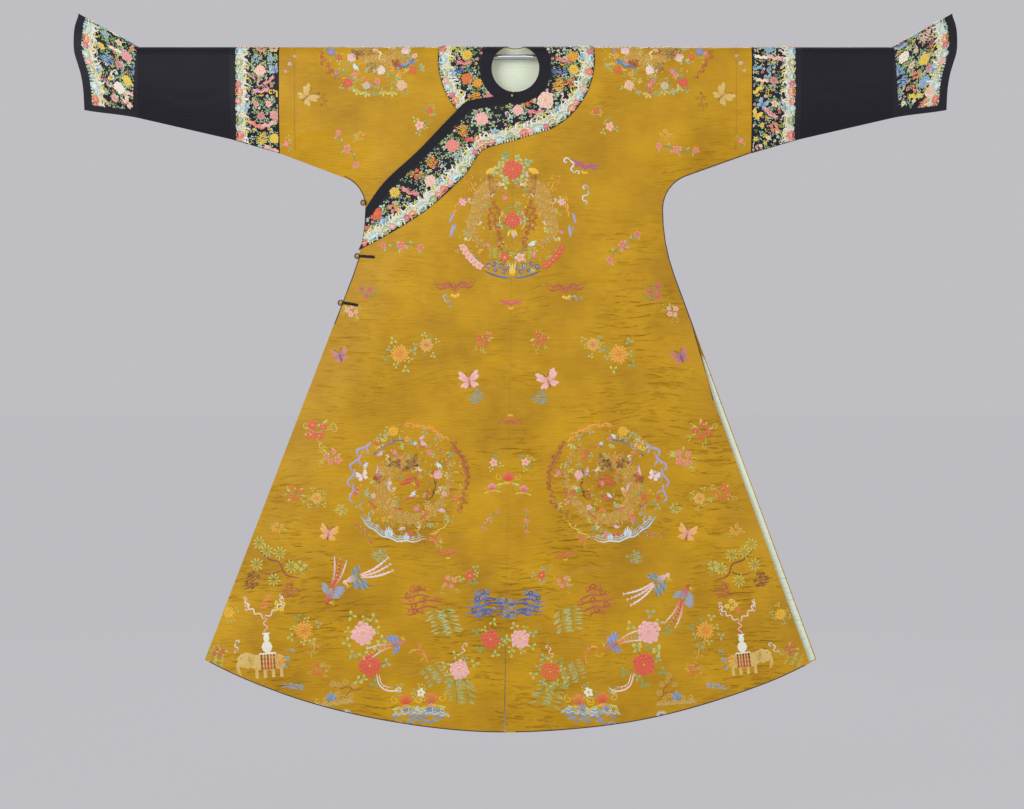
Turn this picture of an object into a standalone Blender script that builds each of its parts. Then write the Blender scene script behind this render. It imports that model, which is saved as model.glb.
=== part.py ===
"""A long, lined satin robe with a flared skirt, hanging from a padded rod that runs through its sleeves.

Metres, +Z up. The robe faces -Y, and +X is the wearer's left. The origin is the middle of the rod.
Each cloth piece is cut flat, as on a maker's table: x runs along the rod and t down the cloth from
the shoulder fold, positive on the front and negative on the back. hang() then lays the flat piece on
the form that the robe has on its rod.
"""

import math
from collections import namedtuple

import bmesh
import bpy
from mathutils import Vector

# Walls of cloth, and the gap that touching pieces keep
SATIN = 0.0015
BORDER = 0.0010
LINING = 0.0010
GAP = 0.0003
SEAM = GAP / 2

# The rod and its padded roll
ROD_RADIUS = 0.0063
ROD_HALF = 0.785
FORM_RADIUS = 0.0210
ROLL_RADIUS = FORM_RADIUS - SATIN - GAP
ROLL_CLEAR_OF_NECK = 0.075
ROUND_SIDES = 24

# The neck hole and the round collar
NECK_X = 0.0000
NECK_Z = -0.0258
NECK_RADIUS = 0.0498
FACING_WIDTH = 0.0240
BACK_NECK_DEPTH = 0.0100
COLLAR_X = 0.0020
COLLAR_Z = -0.0060
COLLAR_RADIUS = 0.1640

# The sleeves, from the body outwards
BAND_START = 0.4945
BAND_END = 0.5985
CUFF_START = 0.7900
CUFF_RISE = 0.56
CUFF_TIP_X = 0.9170
CUFF_FOLD_RADIUS = 0.0055
CUFF_DEPTH = 0.0150
CUFF_SWELL = 0.060
SLEEVE_SEAM_Z = {BAND_START: -0.2020, BAND_END: -0.1720, CUFF_START: -0.1280, 0.9060: -0.1110}

CUFF_MOUTH = (
    (0.9170, 0.0860), (0.9230, 0.0650), (0.9250, 0.0400), (0.9240, 0.0100), (0.9160, -0.0180),
    (0.9100, -0.0400), (0.9060, -0.0700), (0.9050, -0.1110),
)

# The body below the arms
ARMPIT_X = 0.3845
ARMPIT_Z = -0.3180
ARMPIT_RADIUS = 0.0720
ARMPIT_TURN = math.radians(68)
WAIST_RADIUS = 0.4000
SIDE_SLOPE = 0.377
SIDE_LEAN = 0.0075
VENT_TOP_Z = -0.5600
VENT_INSET = 0.0150
VENT_INSET_Z = -0.7200
HEM_CENTRE_Z = 0.0340
HEM_RADIUS = 1.4490
CENTRE_LEAN = 0.0157
CENTRE_VENT_Z = -1.1990
CENTRE_VENT_HALF = 0.0015
UNDER_FRONT_Z = -0.5600
BACK_PARTING_Z = -0.5450
UNDER_FRONT_INSET = 0.0120

# How full the hanging robe is
CLOSING_WIDTH = 0.110
SEAM_DEPTH = SATIN + SEAM
VENT_DEPTH = 0.0060
LAPPED_DEPTH = 2 * SATIN + GAP + SEAM + 0.00015
UNDER_TUCK = SATIN + GAP
COLLAR_TUCK = BORDER + GAP
TUCK_Z = -0.055
SLEEVE_TUCK_X = (-0.460, -0.360)
COLLAR_TUCK_X = (-0.280, -0.160)

# The cutting grid, which every piece shares so that layers stay parallel
GRID_X = 0.056
GRID_T = 0.055
ROLL_STEPS = 6
MERGE = 0.004
QUARTER = FORM_RADIUS * math.pi / 2

Fold = namedtuple("Fold", "x width top depth")
FRONT_FOLDS = (
    Fold(x=-0.440, width=0.080, top=-0.72, depth=0.0045),
    Fold(x=-0.235, width=0.070, top=-0.64, depth=-0.0035),
    Fold(x=-0.070, width=0.060, top=-0.80, depth=0.0040),
    Fold(x=0.100, width=0.065, top=-0.60, depth=-0.0040),
    Fold(x=0.270, width=0.075, top=-0.50, depth=0.0050),
    Fold(x=0.450, width=0.070, top=-0.74, depth=-0.0035),
)
BACK_FOLDS = (
    Fold(x=-0.380, width=0.080, top=-0.60, depth=-0.0040),
    Fold(x=-0.180, width=0.070, top=-0.70, depth=0.0045),
    Fold(x=0.020, width=0.080, top=-0.52, depth=-0.0040),
    Fold(x=0.230, width=0.070, top=-0.66, depth=0.0040),
    Fold(x=0.420, width=0.080, top=-0.78, depth=-0.0035),
)

# The curved edge of the overlap, from the neck to the armpit, and the border's outer edge beside it
OVERLAP_EDGE = (
    (-0.0450, -0.0860),
    (-0.0980, -0.0950),
    (-0.1350, -0.1270),
    (-0.2050, -0.2000),
    (-0.2740, -0.2630),
)
BORDER_EDGE = (
    (-0.3300, -0.4060),
    (-0.2570, -0.3680),
    (-0.1785, -0.3170),
    (-0.1090, -0.2530),
    (-0.0844, -0.2180),
    (-0.0636, -0.1950),
    (-0.0044, -0.1780),
)
UNDER_RING_END = math.radians(-97)
OVERLAP_RING_END = math.radians(-100)
RING_TO_EDGE = 0.0120
NEAR_CORNER = 0.0040
NECK_PAST_MIDDLE = (0.30, 0.15)
# A seam path runs from the cuff: these points of it are the first on the armpit and the first by the overlap
SIDE_POINT = 8
ARMPIT_POINT = 10
BORDER_LEAVES_RING = math.radians(-65)
EDGE_FACING_WIDTH = 0.0190
EDGE_FACING_DROP = 0.0120

# The lining of the back
LINING_SHOULDER = 0.0720
LINING_SIDE = 0.3100
LINING_DROP = 0.0700
LINING_SEAM_INSET = 0.0180
LINING_VENT_DROP = 0.0200
LINING_SLIT_DROP = 0.0750
LINING_INSET = 0.0020

# Fastenings along the overlap's edge
BUTTON_RADIUS = 0.0042
NECK_BUTTON_RADIUS = 0.0034
CORD_RADIUS = 0.0010
LOOP_POINTS = 10
STRAP_LENGTH = 0.030
STRAP_WIDTH = 0.006
NECK_KNOB = (-0.0070, -0.0840)
KNOB_OVERHANG = 0.0030
Toggle = namedtuple("Toggle", "name z turn")
TOGGLES = (
    Toggle("underarm", z=-0.3060, turn=0.0),
    Toggle("side", z=-0.4180, turn=-0.08),
    Toggle("hip", z=-0.5160, turn=-0.18),
)

COLOURS = {
    "gold_satin": ((0.50, 0.29, 0.02, 1), 0.42, 0.0),
    "navy_satin": ((0.018, 0.018, 0.030, 1), 0.55, 0.0),
    "navy_silk": ((0.030, 0.030, 0.042, 1), 0.60, 0.0),
    "mint_lining": ((0.62, 0.72, 0.60, 1), 0.55, 0.0),
    "gilt_brass": ((0.60, 0.40, 0.16, 1), 0.30, 1.0),
    "dark_cord": ((0.030, 0.024, 0.022, 1), 0.70, 0.0),
    "rod_steel": ((0.72, 0.73, 0.75, 1), 0.25, 1.0),
    "roll_cotton": ((0.78, 0.75, 0.68, 1), 0.85, 0.0),
}


# Small curves and blends

def smooth(value, start, end):
    """0 before start, 1 after end, and an even curve between them."""
    u = min(1.0, max(0.0, (value - start) / (end - start)))
    return u * u * (3 - 2 * u)


def arc(centre, radius, start, end, steps):
    """Points on a circle, with both ends."""
    angles = [start + (end - start) * k / steps for k in range(steps + 1)]
    return [(centre[0] + radius * math.cos(a), centre[1] + radius * math.sin(a)) for a in angles]


def through(points, steps=3):
    """A smooth curve through the points, with both ends."""
    ends = [points[0], *points, points[-1]]
    curve = []
    for a, b, c, d in zip(ends, ends[1:], ends[2:], ends[3:]):
        for k in range(steps):
            u = k / steps
            curve.append(tuple(
                0.5 * (2 * b[n] + (c[n] - a[n]) * u + (2 * a[n] - 5 * b[n] + 4 * c[n] - d[n]) * u ** 2
                       + (3 * b[n] - a[n] - 3 * c[n] + d[n]) * u ** 3)
                for n in (0, 1)
            ))
    return curve + [points[-1]]


def mirrored(points):
    return [(-x, z) for x, z in points]


# Outlines in front view, as (x, z)

def fold_radius(x):
    """Radius of the fold at the top of the cloth: the roll's, narrowing along the cuff."""
    share = smooth(abs(x), CUFF_START, CUFF_TIP_X)
    return FORM_RADIUS + (CUFF_FOLD_RADIUS - FORM_RADIUS) * share


def top_z(x):
    """Height of the top fold, which climbs along the flared cuff."""
    return FORM_RADIUS + CUFF_RISE * max(0.0, abs(x) - CUFF_START)


def sleeve_seam_z(x):
    """Height of the seam under the sleeve, from the body to the cuff."""
    rows = sorted(SLEEVE_SEAM_Z.items())
    for (x0, z0), (x1, z1) in zip(rows, rows[1:]):
        if x <= x1:
            break
    return z0 + (z1 - z0) * (x - x0) / (x1 - x0)


def armhole(inset=0.0):
    """From the sleeve's end of the satin round the armpit to the waist, on the +X side."""
    armpit = arc((ARMPIT_X, ARMPIT_Z), ARMPIT_RADIUS + inset, math.pi - ARMPIT_TURN, math.pi, 6)
    waist_turn = math.atan(SIDE_SLOPE)
    waist = arc((ARMPIT_X - ARMPIT_RADIUS + WAIST_RADIUS, ARMPIT_Z), WAIST_RADIUS + inset,
                math.pi, math.pi + waist_turn, 4)
    return armpit + waist[1:]


def side_x(z, inset=0.0):
    """The straight flared side, on the +X side, before the robe's lean."""
    waist_x, waist_z = armhole(inset)[-1]
    return waist_x + SIDE_SLOPE * (waist_z - z)


def hem_z(x):
    return HEM_CENTRE_Z - math.sqrt(HEM_RADIUS ** 2 - x ** 2)


def hem_corner(inset=0.0):
    """Where the flared side meets the hem."""
    z = -1.0
    for _ in range(20):
        z = hem_z(side_x(z, inset)) + inset
    return side_x(z, inset), z


def leaned(points):
    """The skirt hangs a little to the wearer's right."""
    return [(x + SIDE_LEAN * min(0.0, z), z) for x, z in points]


def seam_path(wearers_left, front):
    """The seam under the sleeve, round the armpit and down the side to the hem."""
    corner = hem_corner()
    down = [(side_x(VENT_TOP_Z), VENT_TOP_Z), corner]
    if wearers_left and front:
        inset_corner = (corner[0] - VENT_INSET, hem_z(corner[0] - VENT_INSET))
        down = [down[0], (side_x(VENT_INSET_Z) - VENT_INSET, VENT_INSET_Z), inset_corner]
    sleeve = [(x, z) for x, z in sorted(SLEEVE_SEAM_Z.items(), reverse=True)]
    path = sleeve + armhole() + down
    return leaned(path if wearers_left else mirrored(path))


def seam_x(path, z):
    """The place of a side seam at a height below the armpit."""
    for (ax, az), (bx, bz) in zip(path[SIDE_POINT:], path[SIDE_POINT + 1:]):
        if bz <= z <= az:
            return ax + (bx - ax) * (z - az) / (bz - az)
    return path[-1][0]


def hem(start_x, end_x, steps, rise=0.0):
    """The hem's arc between two places along it, before the lean."""
    xs = [start_x + (end_x - start_x) * k / steps for k in range(steps + 1)]
    return [(x, hem_z(x) + rise) for x in xs]


def centre_x(z):
    """The seam down the middle, which leans a little more than the sides."""
    return -0.0010 + CENTRE_LEAN * z


def centre_edge(side):
    """The slit at the foot of the middle seam, from the hem up to its top."""
    bottom = hem_z(0.0)
    return [
        (centre_x(bottom) + side * CENTRE_VENT_HALF, bottom),
        (centre_x(CENTRE_VENT_Z) + side * SEAM, CENTRE_VENT_Z),
    ]


def neck_point(angle, radius=NECK_RADIUS):
    return NECK_X + radius * math.cos(angle), NECK_Z + radius * math.sin(angle)


def ridge_angle(radius, centre_z, side):
    """The angle at which a circle in front view reaches the shoulder fold."""
    rise = math.asin(min(1.0, (FORM_RADIUS - centre_z) / radius))
    return rise if side > 0 else math.pi - rise


def angle_at_x(x, radius=NECK_RADIUS):
    """The angle on the lower half of the neck circle at this x."""
    return -math.acos((x - NECK_X) / radius)


# The hanging form

def distance_to(path, x, z):
    """Distance from a point to a path."""
    best = 9.0
    for (ax, az), (bx, bz) in zip(path, path[1:]):
        dx, dz = bx - ax, bz - az
        u = ((x - ax) * dx + (z - az) * dz) / (dx * dx + dz * dz)
        u = min(1.0, max(0.0, u))
        best = min(best, math.hypot(x - ax - u * dx, z - az - u * dz))
    return best


def inside(path, wearers_left, x, z):
    """Whether a point lies on the cloth's side of a seam path."""
    side = 1 if wearers_left else -1
    if side * x < 0.001:
        return True
    polygon = [(side * 1.0, 1.0), (side * 1.0, path[0][1]), *path, (path[-1][0], -2.0), (0.0, -2.0), (0.0, 1.0)]
    crossings = 0
    for (ax, az), (bx, bz) in zip(polygon, polygon[1:] + polygon[:1]):
        if (az > z) != (bz > z) and x < ax + (z - az) * (bx - ax) / (bz - az):
            crossings += 1
    return crossings % 2 == 1


SEAMS = {(left, front): seam_path(left, front) for left in (True, False) for front in (True, False)}


def lap_share(x):
    """1 where the overlap lies on the under front, 0 out along the sleeve and on the other side."""
    return smooth(x, *SLEEVE_TUCK_X) * (1 - smooth(x, 0.001, 0.04))


def seam_depth(x, z, front):
    """Half the robe's depth right at its side seam or vent."""
    closed = SEAM_DEPTH
    if front:
        closed += (LAPPED_DEPTH - SEAM_DEPTH) * lap_share(x)
    return closed + (VENT_DEPTH - closed) * smooth(-z, -VENT_TOP_Z, -VENT_TOP_Z + 0.15)


def fold_swell(x, z, front):
    """The soft folds that grow towards the hem."""
    total = 0.0
    for fold in FRONT_FOLDS if front else BACK_FOLDS:
        across = math.exp(-((x - fold.x * (0.6 - 0.3 * z)) / fold.width) ** 2)
        total += fold.depth * across * smooth(-z, -fold.top, -fold.top + 0.55)
    return total


def half_depth(x, z, front):
    """Distance of the cloth's outer face from the middle plane."""
    left = x > 0
    path = SEAMS[(left, front)]
    to_seam = distance_to(path, x, z)
    if not inside(path, left, x, z):
        to_seam = -to_seam
    full = fold_radius(x)
    if abs(x) > CUFF_START:
        full += (CUFF_DEPTH - full) * smooth(top_z(x) - z, 0.0, CUFF_SWELL) * smooth(abs(x), CUFF_START, CUFF_TIP_X)
    edge = seam_depth(x, z, front)
    share = math.sin(math.pi / 2 * max(-1.0, min(1.0, to_seam / CLOSING_WIDTH)))
    return edge + (full + fold_swell(x, z, front) - edge) * share


def tuck(x, z):
    """How far the under front and the collar on it lie behind the overlap."""
    depth = UNDER_TUCK + COLLAR_TUCK * smooth(x, *COLLAR_TUCK_X)
    return depth * lap_share(x) * smooth(-z, 0.0, -TUCK_Z)


def grid_node(i, j):
    """(place on the outer face, outward direction, tuck) at a crossing of the cutting grid."""
    x = i * GRID_X
    t = grid_to_t(abs(j))
    front = j >= 0
    radius = fold_radius(x)
    angle = min(t / radius, math.pi / 2)
    z = top_z(x) - radius + radius * math.cos(angle) - max(0.0, t - radius * math.pi / 2)
    side = -1 if front else 1
    y = side * math.sin(angle) * half_depth(x, z, front)
    outward = Vector((0, side * math.sin(angle), math.cos(angle)))
    return Vector((x, y, z)), outward, tuck(x, z) * math.sin(angle) if front else 0.0


NODES = {}


def node_at(i, j):
    if (i, j) not in NODES:
        NODES[(i, j)] = grid_node(i, j)
    return NODES[(i, j)]


def grid_to_t(j):
    """The distance down the cloth of grid line j."""
    if j <= ROLL_STEPS:
        return QUARTER * j / ROLL_STEPS
    return QUARTER + (j - ROLL_STEPS) * GRID_T


def t_to_grid(t):
    down = abs(t)
    j = down / QUARTER * ROLL_STEPS if down <= QUARTER else ROLL_STEPS + (down - QUARTER) / GRID_T
    return math.copysign(j, t)


def to_t(x, z):
    """The distance down the cloth, from the shoulder fold, of a height in front view."""
    radius = fold_radius(x)
    below = top_z(x) - radius - z
    if below >= 0:
        return radius * math.pi / 2 + below
    return radius * math.acos(max(-1.0, min(1.0, -below / radius)))


def hang(i, j, out, tucked):
    """The place of a point of the flat cloth, out metres off the outer face."""
    i0, j0 = math.floor(i + 1e-7), math.floor(j + 1e-7)
    u, v = i - i0, j - j0
    corner, far = node_at(i0, j0), node_at(i0 + 1, j0 + 1)
    near = node_at(i0 + 1, j0) if u > v else node_at(i0, j0 + 1)
    weights = (1 - max(u, v), abs(u - v), min(u, v))
    place, outward, depth = Vector(), Vector(), 0.0
    for weight, (p, n, d) in zip(weights, (corner, near, far)):
        place += weight * p
        outward += weight * n
        depth += weight * d
    side = -1 if j >= 0 else 1
    closed = SEAM_DEPTH + (depth if tucked else 0.0)
    if abs(j) > ROLL_STEPS and side * place.y < closed:
        place.y = side * closed
    return place + outward * (out - (depth if tucked else 0.0))


# Making the solids

def material(name):
    found = bpy.data.materials.get(name)
    if found:
        return found
    colour, roughness, metallic = COLOURS[name]
    made = bpy.data.materials.new(name)
    made.use_nodes = True
    shader = made.node_tree.nodes["Principled BSDF"]
    shader.inputs["Base Color"].default_value = colour
    shader.inputs["Roughness"].default_value = roughness
    shader.inputs["Metallic"].default_value = metallic
    return made


def keep(name, mesh, finish, collection):
    mesh.materials.append(material(finish))
    made = bpy.data.objects.new(name, mesh)
    collection.objects.link(made)
    return made


def cut_on_lines(sheet, low, high, normal):
    """Cuts a flat sheet on every whole grid line in one direction."""
    for line in range(math.floor(low), math.ceil(high) + 1):
        bmesh.ops.bisect_plane(
            sheet,
            geom=sheet.verts[:] + sheet.edges[:] + sheet.faces[:],
            dist=1e-5,
            plane_co=Vector(normal) * line / Vector(normal).length_squared,
            plane_no=normal,
        )


def cloth(name, outline, inner, outer, finish, collection, tucked=False):
    """A cloth piece: its flat outline (x, t) is cut on the grid, given its wall and hung on the form."""
    flat = [(x / GRID_X, t_to_grid(t)) for x, t in outline]
    sheet = bmesh.new()
    sheet.faces.new([sheet.verts.new((i, j, 0)) for i, j in flat])
    across, down = [p[0] for p in flat], [p[1] for p in flat]
    cut_on_lines(sheet, min(across), max(across), (1, 0, 0))
    cut_on_lines(sheet, min(down), max(down), (0, 1, 0))
    cut_on_lines(sheet, min(across) - max(down), max(across) - min(down), (1, -1, 0))
    bmesh.ops.remove_doubles(sheet, verts=sheet.verts[:], dist=MERGE)
    wall = bmesh.ops.extrude_face_region(sheet, geom=sheet.faces[:])
    raised = {v for v in wall["geom"] if isinstance(v, bmesh.types.BMVert)}
    for vert in sheet.verts:
        out = outer if vert in raised else inner
        vert.co = hang(vert.co.x, vert.co.y, out, tucked)
    bmesh.ops.triangulate(sheet, faces=sheet.faces[:])
    bmesh.ops.recalc_face_normals(sheet, faces=sheet.faces[:])
    mesh = bpy.data.meshes.new(name)
    sheet.to_mesh(mesh)
    sheet.free()
    return keep(name, mesh, finish, collection)


def on_front(points):
    """An outline in front view as flat cloth, just in front of the shoulder fold."""
    return [(x, max(SEAM, to_t(x, z))) for x, z in points]


def on_back(points):
    """The same for the back, just behind the shoulder fold."""
    return [(x, min(-SEAM, -to_t(x, z))) for x, z in points]


def satin(name, outline, collection, tucked=False):
    return cloth(name, outline, -SATIN, 0.0, "gold_satin", collection, tucked)


def laid_on(name, outline, finish, collection, tucked=False):
    return cloth(name, outline, GAP, GAP + BORDER, finish, collection, tucked)


# The pieces of the robe

def within_sleeve(path):
    """The part of a seam path that the satin reaches, inside the sleeve bands."""
    return [(x, z) for x, z in path if abs(x) < BAND_START - GAP or z < ARMPIT_Z]


def front_left(collection):
    """The wearer's left front with its upper sleeve, in one length of satin."""
    top = FORM_RADIUS
    edge = centre_edge(1)
    neck_start = angle_at_x(centre_x(NECK_Z - NECK_RADIUS) + SEAM)
    neck = [neck_point(a) for a in
            [neck_start + (ridge_angle(NECK_RADIUS, NECK_Z, 1) - neck_start) * k / 14 for k in range(15)]]
    seam = within_sleeve(SEAMS[(True, True)])
    sleeve_end = BAND_START - SEAM
    bottom = hem(hem_corner()[0] - VENT_INSET, 0.0, 10)[1:-1]
    outline = (neck + [(sleeve_end, top), (sleeve_end, sleeve_seam_z(BAND_START))] + seam[1:]
               + leaned(bottom) + edge)
    satin("front_left", on_front(outline), collection)


def overlap_top():
    """The overlap's curved edge, from the armpit up to the neck."""
    neck = neck_point(angle_at_x(centre_x(NECK_Z - NECK_RADIUS) - SEAM))
    armpit = SEAMS[(False, True)][ARMPIT_POINT]
    return through([neck, *OVERLAP_EDGE, armpit], 3)[::-1]


def front_overlap(collection):
    """The overlap, which crosses from the middle seam to the wearer's right side."""
    seam = SEAMS[(False, True)]
    bottom = mirrored(hem(hem_corner()[0], 0.0, 10)[1:-1])
    edge = centre_edge(-1)
    outline = overlap_top()[::-1] + seam[ARMPIT_POINT + 1:] + leaned(bottom) + edge
    satin("front_overlap", on_front(outline), collection)


def under_front(collection):
    """The wearer's right front with its upper sleeve. It runs on under the overlap as a short flap."""
    top = FORM_RADIUS
    neck_end = angle_at_x(centre_x(NECK_Z - NECK_RADIUS) - SEAM)
    ridge = ridge_angle(NECK_RADIUS, NECK_Z, -1) - 2 * math.pi
    neck = [neck_point(neck_end + (ridge - neck_end) * k / 14) for k in range(15)]
    seam = [p for p in within_sleeve(SEAMS[(False, True)]) if p[1] > UNDER_FRONT_Z + 0.001]
    sleeve_end = -(BAND_START - SEAM)
    low = leaned([(UNDER_FRONT_INSET - side_x(UNDER_FRONT_Z), UNDER_FRONT_Z)])
    outline = (neck + [(sleeve_end, top), (sleeve_end, sleeve_seam_z(BAND_START))] + seam[1:] + low
               + [(centre_x(UNDER_FRONT_Z) - SEAM, UNDER_FRONT_Z)])
    satin("front_under", on_front(outline), collection, tucked=True)


def back_half(wearers_left, collection):
    """Half of the back with its upper sleeve, and its skirt.

    The real satin runs on through the waist. It is parted here, by a seam's gap, so that neither
    solid bends around the whole height of the robe's hollow.
    """
    side = 1 if wearers_left else -1
    ridge_x = neck_point(ridge_angle(NECK_RADIUS, NECK_Z, side))[0]
    half = abs(ridge_x - NECK_X)
    neck = []
    for k in range(7):
        angle = math.pi / 2 * k / 6
        x = NECK_X + side * half * math.sin(angle)
        neck.append((x, -SEAM - BACK_NECK_DEPTH * math.cos(angle)))
    middle_t = -SEAM - BACK_NECK_DEPTH * math.sqrt(1 - ((centre_x(0.0) - NECK_X) / half) ** 2)
    start_x = centre_x(0.0) + side * SEAM
    if side > 0:
        neck = [(start_x, middle_t), *[p for p in
                [(NECK_X - half * math.sin(a), -SEAM - BACK_NECK_DEPTH * math.cos(a)) for a in NECK_PAST_MIDDLE]
                if p[0] > start_x + 0.001], *neck]
    else:
        neck = [(start_x, middle_t), *[p for p in neck if p[0] < start_x - 0.001]]
    seam = within_sleeve(SEAMS[(wearers_left, False)])
    sleeve_end = side * (BAND_START - SEAM)
    bottom = hem(hem_corner()[0], 0.0, 10)[1:-1]
    bottom = bottom if wearers_left else mirrored(bottom)
    name = "back_left" if wearers_left else "back_right"
    over, below = BACK_PARTING_Z + SEAM, BACK_PARTING_Z - SEAM
    upper = [p for p in seam[1:] if p[1] > over]
    lower = [p for p in seam[1:] if p[1] < below]
    body = [(sleeve_end, sleeve_seam_z(BAND_START))] + upper
    body += [(seam_x(seam_path(wearers_left, False), over), over), (centre_x(over) + side * SEAM, over)]
    satin(name, neck + [(sleeve_end, -SEAM)] + on_back(body), collection)
    skirt = [(centre_x(below) + side * SEAM, below), (seam_x(seam_path(wearers_left, False), below), below)]
    satin(name + "_skirt", on_back(skirt + lower + leaned(bottom) + centre_edge(side)), collection)


def curve_beside(points, width):
    """A curve the given width to the right of the way that it runs."""
    beside = []
    for n, (x, z) in enumerate(points):
        ax, az = points[max(0, n - 1)]
        bx, bz = points[min(len(points) - 1, n + 1)]
        length = math.hypot(bx - ax, bz - az)
        beside.append((x + (bz - az) / length * width, z - (bx - ax) / length * width))
    return beside


def neck_arc(radius, start, end, steps=12):
    return arc((NECK_X, NECK_Z), radius, start, end, steps)


def collar_arc(start, end, steps=12, inset=0.0):
    return arc((COLLAR_X, COLLAR_Z), COLLAR_RADIUS - inset, start, end, steps)


def overlap_collar(collection):
    """The collar's left half, which runs on down the overlap's curved edge to the armpit."""
    edge = overlap_top()[::-1][1:]
    inner = NECK_RADIUS + FACING_WIDTH
    facing_line = curve_beside(edge, -EDGE_FACING_WIDTH)
    facing_line = [p for p in facing_line if p[0] < neck_point(OVERLAP_RING_END, inner)[0] - RING_TO_EDGE]
    side = [p for p in SEAMS[(False, True)][ARMPIT_POINT:] if p[1] > BORDER_EDGE[0][1] + RING_TO_EDGE]
    end_z = facing_line[-1][1] - EDGE_FACING_DROP
    facing_line.append((seam_x(SEAMS[(False, True)], end_z), end_z))
    ring = neck_arc(inner, ridge_angle(inner, NECK_Z, 1), OVERLAP_RING_END)
    line = ring + facing_line
    parting = curve_beside(line, -GAP)
    outer = collar_arc(BORDER_LEAVES_RING, ridge_angle(COLLAR_RADIUS, COLLAR_Z, 1), 10)
    border = through(BORDER_EDGE, 3) + outer
    below = [p for p in side if p[1] < parting[-1][1] - NEAR_CORNER]
    laid_on("collar_overlap", on_front(parting + below + border), "navy_satin", collection)
    neck = neck_arc(NECK_RADIUS, ridge_angle(NECK_RADIUS, NECK_Z, 1),
                    angle_at_x(centre_x(NECK_Z - NECK_RADIUS) - SEAM))
    above = [p for p in side if p[1] > line[-1][1] + NEAR_CORNER]
    facing = neck + edge + above[1:] + line[::-1]
    laid_on("binding_overlap", on_front(facing), "navy_silk", collection)


def under_collar(collection):
    """The collar's right half, on the under front."""
    inner = NECK_RADIUS + FACING_WIDTH
    end = UNDER_RING_END
    turn = -2 * math.pi
    ridge = [ridge_angle(r, z, -1) + turn
             for r, z in ((NECK_RADIUS, NECK_Z), (inner, NECK_Z), (COLLAR_RADIUS, COLLAR_Z))]
    outer = collar_arc(ridge[2], end)
    laid_on("collar_under", on_front(outer + neck_arc(inner + GAP, end, ridge[1])), "navy_satin",
            collection, tucked=True)
    laid_on("binding_under", on_front(neck_arc(inner, ridge[1], end) + neck_arc(NECK_RADIUS, end, ridge[0])),
            "navy_silk", collection, tucked=True)


def back_collar(collection):
    """The collar behind the neck."""
    def half_oval(half, depth, gap, reverse):
        points = [(NECK_X + half * math.cos(a), -SEAM - gap - depth * math.sin(a))
                  for a in [math.pi * k / 12 for k in range(13)]]
        return points[::-1] if reverse else points

    halves = [abs(neck_point(ridge_angle(r, NECK_Z, 1), r)[0] - NECK_X)
              for r in (NECK_RADIUS, NECK_RADIUS + FACING_WIDTH)]
    near = half_oval(halves[0], BACK_NECK_DEPTH, 0.0, False)
    far_depth = BACK_NECK_DEPTH + FACING_WIDTH
    laid_on("binding_back", near + half_oval(halves[1], far_depth, 0.0, True), "navy_silk", collection)
    start = ridge_angle(COLLAR_RADIUS, COLLAR_Z, 1)
    outer = on_back(collar_arc(start, -math.pi - start, 20))
    inner = half_oval(halves[1] + GAP, far_depth + GAP, 0.0, True)
    laid_on("collar_back", outer + inner, "navy_satin", collection)


def back_lining(collection):
    """The lining of the back, which shows in the neck and along the open left side."""
    ridge = abs(neck_point(ridge_angle(NECK_RADIUS, NECK_Z, 1))[0])
    neck = [(NECK_X + ridge * math.sin(a), -SEAM - BACK_NECK_DEPTH * math.cos(a))
            for a in [math.pi * (k / 10 - 0.5) for k in range(11)]]
    shoulder = [(LINING_SHOULDER, -SEAM), (LINING_SHOULDER, -LINING_DROP)]
    half = [(LINING_SIDE, -LINING_DROP), *[(x, -to_t(x, z)) for x, z in leaned(lined_side())]]
    other = [(-x, -to_t(x, z)) for x, z in lined_side()]
    other = [(x + SIDE_LEAN * min(0.0, -z), z) for x, z in other]
    low = on_back(leaned(hem(lined_side()[-1][0], -lined_side()[-1][0], 16, LINING_INSET)[1:-1]))
    outline = neck + shoulder + half + low + other[::-1]
    outline += [(-LINING_SIDE, -LINING_DROP), (-LINING_SHOULDER, -LINING_DROP), (-LINING_SHOULDER, -SEAM)]
    cloth("back_lining", outline, -SATIN - GAP - LINING, -SATIN - GAP, "mint_lining", collection)


def lined_side():
    """The lining's side, further in where the side seam is closed."""
    closed = armhole(LINING_SEAM_INSET)[3:]
    vent_z, slit_z = VENT_TOP_Z - LINING_VENT_DROP, VENT_TOP_Z - LINING_SLIT_DROP
    vent = (side_x(vent_z, LINING_SEAM_INSET), vent_z)
    slit = (side_x(slit_z, LINING_INSET), slit_z)
    return closed + [vent, slit, hem_corner(LINING_INSET)]


def sleeve_piece(name, start, end, side, finish, collection):
    """A length of sleeve that runs over the shoulder fold, with its seam underneath."""
    start += SEAM
    end -= SEAM
    low = [(start, sleeve_seam_z(start)), (end, sleeve_seam_z(end))]
    front = [(side * x, to_t(x, z)) for x, z in low]
    cloth(name, front + [(x, -t) for x, t in reversed(front)], -SATIN, 0.0, finish, collection)


def cuff(name, side, collection):
    """The flared cuff, whose mouth is cut on a curve."""
    start = CUFF_START + SEAM
    mouth = through(CUFF_MOUTH, 2)
    front = [(side * x, max(0.0, to_t(x, z))) for x, z in mouth]
    low = (side * start, to_t(start, sleeve_seam_z(start)))
    outline = [low, *front[::-1], *[(x, -t) for x, t in front[1:]], (low[0], -low[1])]
    cloth(name, outline, -SATIN, 0.0, "navy_satin", collection)


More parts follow.
